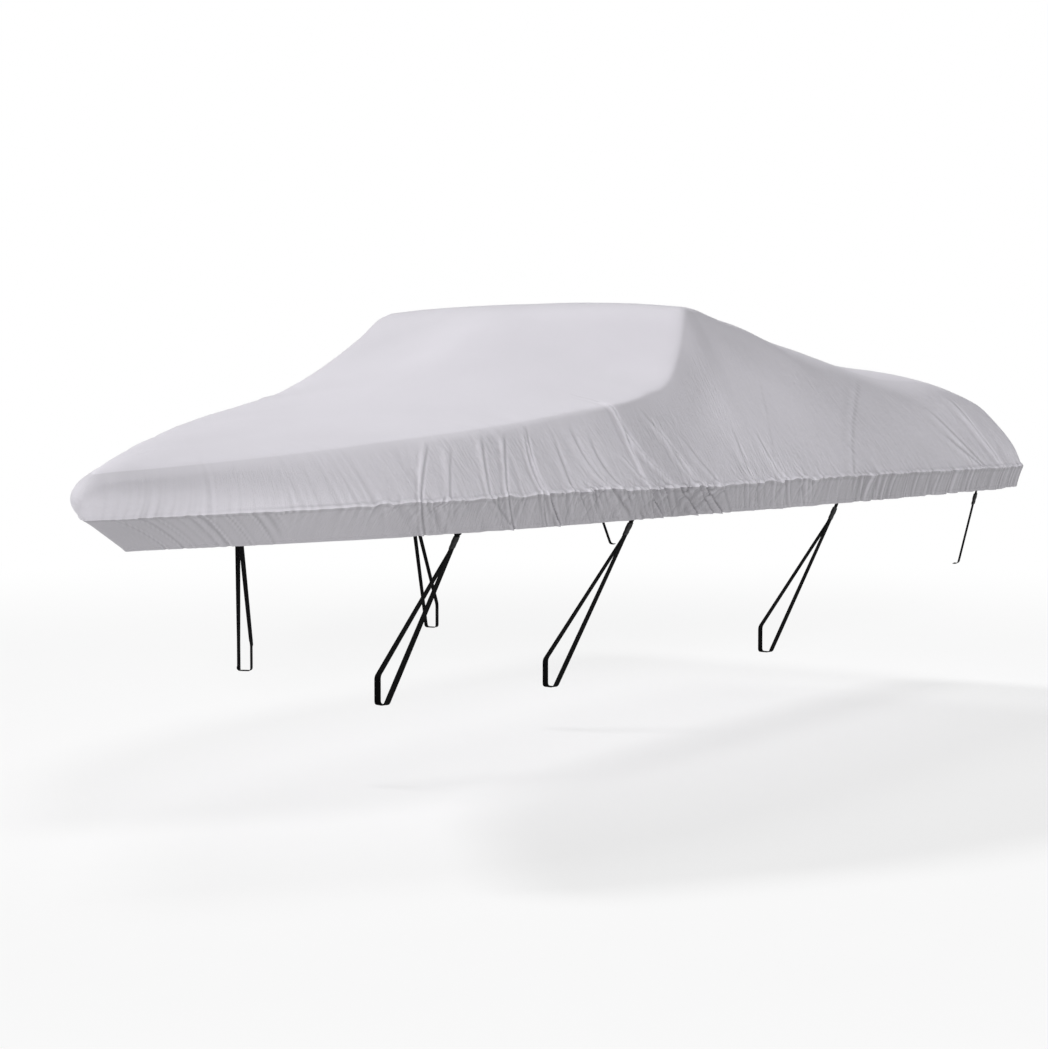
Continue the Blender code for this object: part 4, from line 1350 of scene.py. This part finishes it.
def ribbon_mesh(name, path, across, width):
    """A strip of webbing whose middle follows path, its width held along across at each point."""
    thickness = bpy.context.scene.cover_straps.thickness
    tangent = unit(np.gradient(path, axis=0))
    across = unit(across - tangent * np.sum(across * tangent, axis=1, keepdims=True))
    normal = np.cross(tangent, across)
    section = webbing_section(width, thickness)
    count = len(section)
    points = path[:, None] + across[:, None] * section[:, :1] + normal[:, None] * section[:, 1:]
    length = np.concatenate([[0.0], np.cumsum(np.linalg.norm(np.diff(path, axis=0), axis=1))])
    places = np.stack(np.broadcast_arrays(section[:, 0], length[:, None]), axis=-1)
    grid = np.arange(len(path) * count).reshape(len(path), count)
    faces = quads(np.concatenate([grid, grid[:, :1]], axis=1))
    faces += [grid[0].tolist()[::-1], grid[-1].tolist()]
    return mesh_from(name, points.reshape(-1, 3), faces, places.reshape(-1, 2))


def behind_skirt(strap):
    """Places of a tab's middle on the cloth behind which it is sewn, the ways out, and the hem's own way."""
    along = along_at(strap.hem_x) + np.array([-2.0, -1.0, 0.0, 1.0, 2.0]) * strap.width / 2
    ups = TAB_LEAD_UPS + TAB_UPS
    smooth, normals, height, _ = cloth_grid(along, np.tile(ups, (len(along), 1)), strap.side, False)
    outer = smooth + normals * np.minimum(height, 0.0)[..., None]
    middle, tab = len(along) // 2, slice(len(TAB_LEAD_UPS), None)
    hem_line = unit(smooth[middle + 1, tab] - smooth[middle - 1, tab])
    return outer[middle, tab], normals[middle, tab], hem_line


def strap_frame(strap):
    """Where a strap runs: the tab's path, its facings, and the buckle's middle, pull and width direction."""
    cloth = bpy.context.scene.cover_cloth
    thickness = bpy.context.scene.cover_straps.thickness
    point, normals, hem_line = behind_skirt(strap)
    seat = point - normals * (thickness / 2 + cloth.thickness + TAB_SEAT)
    foot = np.array([strap.foot_x, strap.side * strap.foot_y, strap.foot_z - thickness / 2])
    skew = strap.width / 2 * abs(unit(foot - seat[-1])[0])
    below = seat[-1] + unit(seat[-1] - seat[-2]) * (TAB_DROP + skew)
    pull = unit(foot - below)
    across = unit(np.array([1.0, 0.0, 0.0]) - pull * pull[0])
    reach = TAB_REACH + skew
    mouth, held = below + pull * reach, below + pull * (reach + POCKET_DEPTH - BUCKLE_FIT)
    tab_path = np.vstack([seat, below, mouth, held])
    facing = np.vstack([hem_line, hem_line[-1], across, across])
    middle = below + pull * (reach + BUCKLE_LENGTH / 2)
    return tab_path, facing, middle, pull, across, foot


def tie_path(strap, middle, pull, across, foot):
    """The way of a tie from its buckle, round the rail and back or to its free end, and its facings."""
    thickness = bpy.context.scene.cover_straps.thickness
    mouth = middle + pull * BUCKLE_LENGTH / 2
    start = mouth - pull * (POCKET_DEPTH - BUCKLE_FIT)
    if not strap.looped:
        turned = foot + np.array([0.0, -strap.side * TURNED_END, 0.0])
        path = spaced(rounded_path([start, foot, turned], BEND, BEND_STEPS), LOOP_STEP)
        return path, np.tile(across, (len(path), 1))
    apart = np.cross(pull, across) * (thickness + LAYER_SPACE) / 2
    apart = apart * np.sign(apart[1]) * strap.side
    leave = mouth + pull * POCKET_DEPTH
    splay = np.radians(strap.splay)
    inboard = np.array([np.sin(splay), -strap.side * np.cos(splay), 0.0])
    inner_low = foot + inboard * (RAIL_WIDTH + thickness)
    inner_high = inner_low + np.array([0.0, 0.0, RAIL_HEIGHT + thickness])
    corners = [start + apart, leave + apart, foot, inner_low, inner_high, leave - apart, start - apart]
    path = spaced(rounded_path(corners, BEND, BEND_STEPS), LOOP_STEP)
    along_rail = np.cross(inboard, [0.0, 0.0, -strap.side])
    rise = np.clip((path[:, 2:] - inner_high[2]) / (leave[2] - inner_high[2]), 0, 1)
    return path, unit(along_rail * (1 - rise) + across * rise)


def ring_of(half_width, half_thickness, squareness=RING_SQUARENESS):
    """Points round a rounded rectangle."""
    turn = np.linspace(0, 2 * math.pi, RING_POINTS, endpoint=False) + math.pi / RING_POINTS
    power = 2 / squareness
    x = np.sign(np.cos(turn)) * np.abs(np.cos(turn)) ** power * half_width
    y = np.sign(np.sin(turn)) * np.abs(np.sin(turn)) ** power * half_thickness
    return np.stack([x, y], axis=1)


def ring_at(ring, at):
    """The ring's points, this far along the buckle."""
    return np.concatenate([ring, np.full((RING_POINTS, 1), at)], axis=1)


def buckle_points(width):
    """Rings of points of a side-release buckle in its own places: pockets in both ends, ribbed grips."""
    thickness = bpy.context.scene.cover_straps.thickness
    full_width = width / 2 + BUCKLE_WALL + BUCKLE_FIT
    full_thickness = thickness + BUCKLE_WALL + BUCKLE_FIT + LAYER_SPACE / 2
    side_room, face_room = POCKET_ROOM
    mouth = ring_of(width / 2 + side_room, thickness + LAYER_SPACE / 2 + face_room, POCKET_SQUARENESS)
    rings = [(mouth * POCKET_TAPER, POCKET_DEPTH), (mouth, POCKET_LIP)]
    for row in BUCKLE_RINGS:
        rings.append((ring_of(full_width * row.wide, full_thickness * row.thick), row.at * BUCKLE_LENGTH))
    rings += [(mouth, BUCKLE_LENGTH - POCKET_LIP), (mouth * POCKET_TAPER, BUCKLE_LENGTH - POCKET_DEPTH)]
    return np.array([ring_at(ring, at - BUCKLE_LENGTH / 2) for ring, at in rings])


def prong_points(width, sign):
    """Rings of points of one prong that shows in the buckle's side."""
    ring = ring_of(*PRONG_HALF_SIZE, PRONG_SQUARENESS)
    bulge = np.sin(np.linspace(0, math.pi, PRONG_RINGS)) * PRONG_BULGE
    at = np.linspace(*PRONG_ENDS, PRONG_RINGS)
    out = sign * (width / 2 + PRONG_STAND + bulge)
    return np.array([ring_at(ring + [out[number], 0.0], at[number]) for number in range(PRONG_RINGS)])


def buckle_mesh(name, strap, middle, pull, across):
    turn = np.stack([across, np.cross(-pull, across), -pull], axis=1)
    points, faces, places = [], [], []
    blocks = [buckle_points(strap.width), prong_points(strap.width, 1), prong_points(strap.width, -1)]
    for block in blocks:
        first = sum(len(part) for part in points)
        flat = block.reshape(-1, 3)
        grid = first + np.arange(len(flat)).reshape(block.shape[:2])
        faces += quads(np.concatenate([grid, grid[:, :1]], axis=1))
        faces += [grid[0].tolist()[::-1], grid[-1].tolist()]
        points.append(middle + flat @ turn.T)
        places.append(flat[:, [0, 2]])
    return mesh_from(name, np.concatenate(points), faces, np.concatenate(places))


# ---------------------------------------------------------------- stitches


def stitch_nodes():
    """A node tree that sets stitches along the line it is given, lying on the cloth.

    The line's points carry the way out of the cloth in an attribute called out.
    """
    old = bpy.data.node_groups.get("Stitches")
    if old:
        bpy.data.node_groups.remove(old)
    tree = bpy.data.node_groups.new("Stitches", "GeometryNodeTree")
    face = tree.interface
    face.new_socket("Geometry", in_out="INPUT", socket_type="NodeSocketGeometry")
    for name in ("Pitch", "Length", "Thread"):
        face.new_socket(name, in_out="INPUT", socket_type="NodeSocketFloat").subtype = "DISTANCE"
    face.new_socket("Material", in_out="INPUT", socket_type="NodeSocketMaterial")
    face.new_socket("Geometry", in_out="OUTPUT", socket_type="NodeSocketGeometry")
    nodes, links = tree.nodes, tree.links

    def add(kind, settings=None, **values):
        made = nodes.new(kind)
        for name, setting in (settings or {}).items():
            setattr(made, name, setting)
        for name, value in values.items():
            socket = made.inputs[name.replace("_", " ")]
            if isinstance(value, bpy.types.NodeSocket):
                links.new(value, socket)
            else:
                socket.default_value = value
        return made

    given = nodes.new("NodeGroupInput").outputs
    line = add("GeometryNodeMeshToCurve", Mesh=given["Geometry"]).outputs["Curve"]
    even = add("GeometryNodeResampleCurve", {"mode": "LENGTH"}, Curve=line, Length=given["Pitch"])
    out = add(
        "GeometryNodeInputNamedAttribute", {"data_type": "FLOAT_VECTOR"}, Name="out"
    ).outputs["Attribute"]
    flat = add("FunctionNodeAlignRotationToVector", {"axis": "Z"}, Vector=out).outputs["Rotation"]
    way = add("GeometryNodeInputTangent").outputs["Tangent"]
    turned = add(
        "FunctionNodeAlignRotationToVector", {"axis": "X", "pivot_axis": "Z"}, Rotation=flat, Vector=way
    ).outputs["Rotation"]
    ball = add("GeometryNodeMeshUVSphere", Segments=6, Rings=4, Radius=0.5).outputs["Mesh"]
    size = add("ShaderNodeCombineXYZ", X=given["Length"], Y=given["Thread"], Z=given["Thread"]).outputs[0]
    stitch = add("GeometryNodeTransform", Geometry=ball, Scale=size).outputs["Geometry"]
    many = add(
        "GeometryNodeInstanceOnPoints", Points=even.outputs["Curve"], Instance=stitch, Rotation=turned
    ).outputs["Instances"]
    real = add("GeometryNodeRealizeInstances", Geometry=many).outputs["Geometry"]
    smooth = add("GeometryNodeSetShadeSmooth", Geometry=real).outputs["Geometry"]
    sewn = add("GeometryNodeSetMaterial", Geometry=smooth, Material=given["Material"]).outputs["Geometry"]
    links.new(sewn, nodes.new("NodeGroupOutput").inputs["Geometry"])
    return tree


def line_mesh(name, lines):
    """Polylines with the way out of the cloth on every point."""
    mesh = bpy.data.meshes.new(name)
    points = np.concatenate([line for line, _ in lines]) - ORIGIN
    ways = np.concatenate([way for _, way in lines])
    edges, first = [], 0
    for line, _ in lines:
        edges += [(first + number, first + number + 1) for number in range(len(line) - 1)]
        first += len(line)
    mesh.from_pydata(points.tolist(), edges, [])
    way_out = mesh.attributes.new("out", "FLOAT_VECTOR", "POINT")
    way_out.data.foreach_set("vector", ways.astype(np.float32).ravel())
    return mesh


def stitched_object(name, lines, finish):
    """Stitches along the lines, as one plain mesh."""
    settings = bpy.context.scene.cover_stitching
    guide = bpy.data.objects.new(f"{name}_line", line_mesh(name, lines))
    bpy.context.scene.collection.objects.link(guide)
    modifier = guide.modifiers.new("Stitches", "NODES")
    tree = stitch_nodes()
    modifier.node_group = tree
    inputs = {item.name: item.identifier for item in tree.interface.items_tree if item.in_out == "INPUT"}
    modifier[inputs["Pitch"]] = settings.pitch
    modifier[inputs["Length"]] = settings.length
    modifier[inputs["Thread"]] = settings.thread
    modifier[inputs["Material"]] = finish
    evaluated = guide.evaluated_get(bpy.context.evaluated_depsgraph_get())
    mesh = bpy.data.meshes.new_from_object(evaluated)
    mesh.name = name
    guide.modifiers.remove(modifier)
    bpy.data.objects.remove(guide)
    return finished_object(name, mesh, finish)


# ---------------------------------------------------------------- operators


def start_piece(*names):
    """Removes the pieces of an earlier run."""
    for name in names:
        old = bpy.data.objects.get(name)
        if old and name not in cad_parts:
            bpy.data.objects.remove(old)


def placed(piece, nodes):
    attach(piece, "root")
    if nodes:
        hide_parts(*nodes)
    return piece


def inner_face_rows(first, last):
    """The rows of an inner face: the first ones, then every second row, and the last row."""
    return [*first[:-1], *range(first[-1], last, INNER_STEP), last]


class COVER_OT_top(bpy.types.Operator):
    """Makes the cloth panel above the seam"""

    bl_idname = "cover.top"
    bl_label = "Top Panel"

    def execute(self, context):
        start_piece("cover_top")
        colour = tuple(context.scene.cover_cloth.top_colour)
        side_rows = len(SEAM_LIFTS) + SIDE_ROWS
        inner = inner_face_rows(TOP_INNER_ROWS, side_rows + len(TOP_UPS) - 1)
        mesh = cloth_mesh("cover_top", TOP_SPACING, top_ups, True, side_rows, inner)
        finish = cloth_finish("cover_cloth", colour)
        piece = placed(finished_object("cover_top", mesh, finish), ["top_panel"])
        return {"FINISHED"}


class COVER_OT_skirt(bpy.types.Operator):
    """Makes the gathered cloth panel below the seam, with its hem"""

    bl_idname = "cover.skirt"
    bl_label = "Skirt Panel"

    def execute(self, context):
        start_piece("cover_skirt")
        colour = tuple(context.scene.cover_cloth.skirt_colour)
        last = len(SEAM_DROPS) + SKIRT_MIDDLE_ROWS + len(HEM_RISES) - 1
        inner = inner_face_rows((0,), last)
        mesh = cloth_mesh("cover_skirt", SKIRT_SPACING, skirt_ups, False, last, inner)
        # The skirt's finish is the cloth's, in a colour darkened by painted shade.
        finish = cloth_finish("skirt_cloth", colour)
        piece = placed(finished_object("cover_skirt", mesh, finish), ["skirt_panel"])
        return {"FINISHED"}


class COVER_OT_stitching(bpy.types.Operator):
    """Sews the rows of stitches beside the seam and along the hem"""

    bl_idname = "cover.stitching"
    bl_label = "Stitching"

    def execute(self, context):
        start_piece("seam_stitches", "hem_stitches")
        finish = thread_finish()
        proud = context.scene.cover_stitching.thread * STITCH_PROUD
        along = np.linspace(STITCH_END, seam_distances()[-1] - STITCH_END, STITCH_POINTS)
        seam, hem = [], []
        for side in (PORT, STARBOARD):
            seam.append(surface_line(along, SEAM_GROOVE_AT, side, True, proud))
            hem.append(surface_line(along, HEM_WIDTH, side, False, proud))
        placed(stitched_object("seam_stitches", seam, finish), [])
        placed(stitched_object("hem_stitches", hem, finish), [])
        return {"FINISHED"}


class COVER_OT_straps(bpy.types.Operator):
    """Makes the webbing tabs behind the hem and the ties that hang from the buckles"""

    bl_idname = "cover.straps"
    bl_label = "Straps"

    def execute(self, context):
        finish = webbing_finish()
        for strap in STRAPS:
            tab, tie = f"webbing_tab_{strap.name}", f"webbing_tie_{strap.name}"
            start_piece(tab, tie)
            tab_path, facing, middle, pull, across, foot = strap_frame(strap)
            rows = spaced(np.hstack([tab_path, facing]), TAB_STEP)
            mesh = ribbon_mesh(tab, rows[:, :3], rows[:, 3:], strap.width)
            placed(finished_object(tab, mesh, finish), [f"tab_{strap.name}"])
            path, ways = tie_path(strap, middle, pull, across, foot)
            mesh = ribbon_mesh(tie, path, ways, strap.width)
            placed(finished_object(tie, mesh, finish), [f"strap_{strap.name}"])
        return {"FINISHED"}


class COVER_OT_buckles(bpy.types.Operator):
    """Makes the moulded buckles between the tabs and the ties"""

    bl_idname = "cover.buckles"
    bl_label = "Buckles"

    def execute(self, context):
        finish = buckle_finish()
        for strap in STRAPS:
            name = f"moulded_buckle_{strap.name}"
            start_piece(name)
            _, _, middle, pull, across, _ = strap_frame(strap)
            mesh = buckle_mesh(name, strap, middle, pull, across)
            placed(finished_object(name, mesh, finish), [f"buckle_{strap.name}"])
        return {"FINISHED"}


def add_sun(scene, row):
    """A soft distant light."""
    bearing, height = math.radians(row.bearing), math.radians(row.height)
    level = math.cos(height)
    away = Vector((math.cos(bearing) * level, -math.sin(bearing) * level, -math.sin(height)))
    data = bpy.data.lights.new(row.name, "SUN")
    data.energy = getattr(scene.cover_studio, row.name)
    data.angle = math.radians(row.spread)
    made = bpy.data.objects.new(row.name, data)
    made.rotation_euler = away.to_track_quat("-Z", "Y").to_euler()
    scene.collection.objects.link(made)


def add_camera(scene):
    studio = scene.cover_studio
    data = bpy.data.cameras.new("camera")
    data.lens = studio.focal_length
    data.sensor_width = SENSOR_WIDTH
    data.sensor_fit = "HORIZONTAL"
    data.clip_end = CLIP_END
    camera = bpy.data.objects.new("camera", data)
    scene.collection.objects.link(camera)
    level = math.cos(studio.elevation)
    drop = math.sin(studio.elevation)
    look = Vector((math.cos(studio.heading) * level, math.sin(studio.heading) * level, -drop))
    camera.location = Vector(LOOKED_AT) - Vector(ORIGIN) - look * studio.distance
    camera.rotation_euler = look.to_track_quat("-Z", "Y").to_euler()
    scene.camera = camera


def add_world(scene):
    """Even light from all round, and a plain white backdrop that only the camera sees."""
    world = bpy.data.worlds.new("studio")
    world.use_nodes = True
    nodes, links = world.node_tree.nodes, world.node_tree.links
    light = nodes["Background"]
    backdrop = nodes.new("ShaderNodeBackground")
    for background, strength in ((light, scene.cover_studio.sky), (backdrop, 1.0)):
        background.inputs["Color"].default_value = WHITE
        background.inputs["Strength"].default_value = strength
    seen = nodes.new("ShaderNodeLightPath")
    either = nodes.new("ShaderNodeMixShader")
    links.new(seen.outputs["Is Camera Ray"], either.inputs[0])
    links.new(light.outputs[0], either.inputs[1])
    links.new(backdrop.outputs[0], either.inputs[2])
    links.new(either.outputs[0], nodes["World Output"].inputs["Surface"])
    scene.world = world


class COVER_OT_stage(bpy.types.Operator):
    """Sets the floor, the lights and the camera"""

    bl_idname = "cover.stage"
    bl_label = "Stage"

    def execute(self, context):
        scene = context.scene
        start_piece("floor", "camera", *(row.name for row in SUNS))
        mesh = bpy.data.meshes.new("floor")
        corners = [(-1, -1), (1, -1), (1, 1), (-1, 1)]
        places = [(FLOOR_REACH * x, FLOOR_REACH * y, FLOOR_HEIGHT) for x, y in corners]
        mesh.from_pydata(places, [], [(0, 1, 2, 3)])
        finished_object("floor", mesh, floor_finish())
        add_camera(scene)
        for row in SUNS:
            add_sun(scene, row)
        add_world(scene)
        scene.view_settings.view_transform = "Standard"
        return {"FINISHED"}


class COVER_PT_panel(bpy.types.Panel):
    """Lists the cover's sizes, colours and pieces"""

    bl_idname = "COVER_PT_panel"
    bl_label = "Boat Cover"
    bl_space_type = "VIEW_3D"
    bl_region_type = "UI"
    bl_category = "Boat Cover"

    def draw(self, context):
        for group in ("cover_cloth", "cover_stitching", "cover_straps", "cover_studio"):
            box = self.layout.box()
            settings = getattr(context.scene, group)
            for name in settings.__annotations__:
                box.prop(settings, name)
        for operator in OPERATORS:
            self.layout.operator(operator.bl_idname)


SETTINGS = {
    "cover_cloth": CoverCloth,
    "cover_stitching": CoverStitching,
    "cover_straps": CoverStraps,
    "cover_studio": CoverStudio,
}
OPERATORS = (
    COVER_OT_top,
    COVER_OT_skirt,
    COVER_OT_stitching,
    COVER_OT_straps,
    COVER_OT_buckles,
    COVER_OT_stage,
)


def register():
    for kind in (*SETTINGS.values(), *OPERATORS, COVER_PT_panel):
        bpy.utils.register_class(kind)
    for name, kind in SETTINGS.items():
        setattr(bpy.types.Scene, name, bpy.props.PointerProperty(type=kind))


def unregister():
    for name in SETTINGS:
        delattr(bpy.types.Scene, name)
    for kind in (COVER_PT_panel, *reversed(OPERATORS), *reversed(list(SETTINGS.values()))):
        bpy.utils.unregister_class(kind)


def main():
    register()
    bpy.ops.cover.top()
    bpy.ops.cover.skirt()
    bpy.ops.cover.stitching()
    bpy.ops.cover.straps()
    bpy.ops.cover.buckles()
    bpy.ops.cover.stage()


if __name__ == "__main__":
    main()
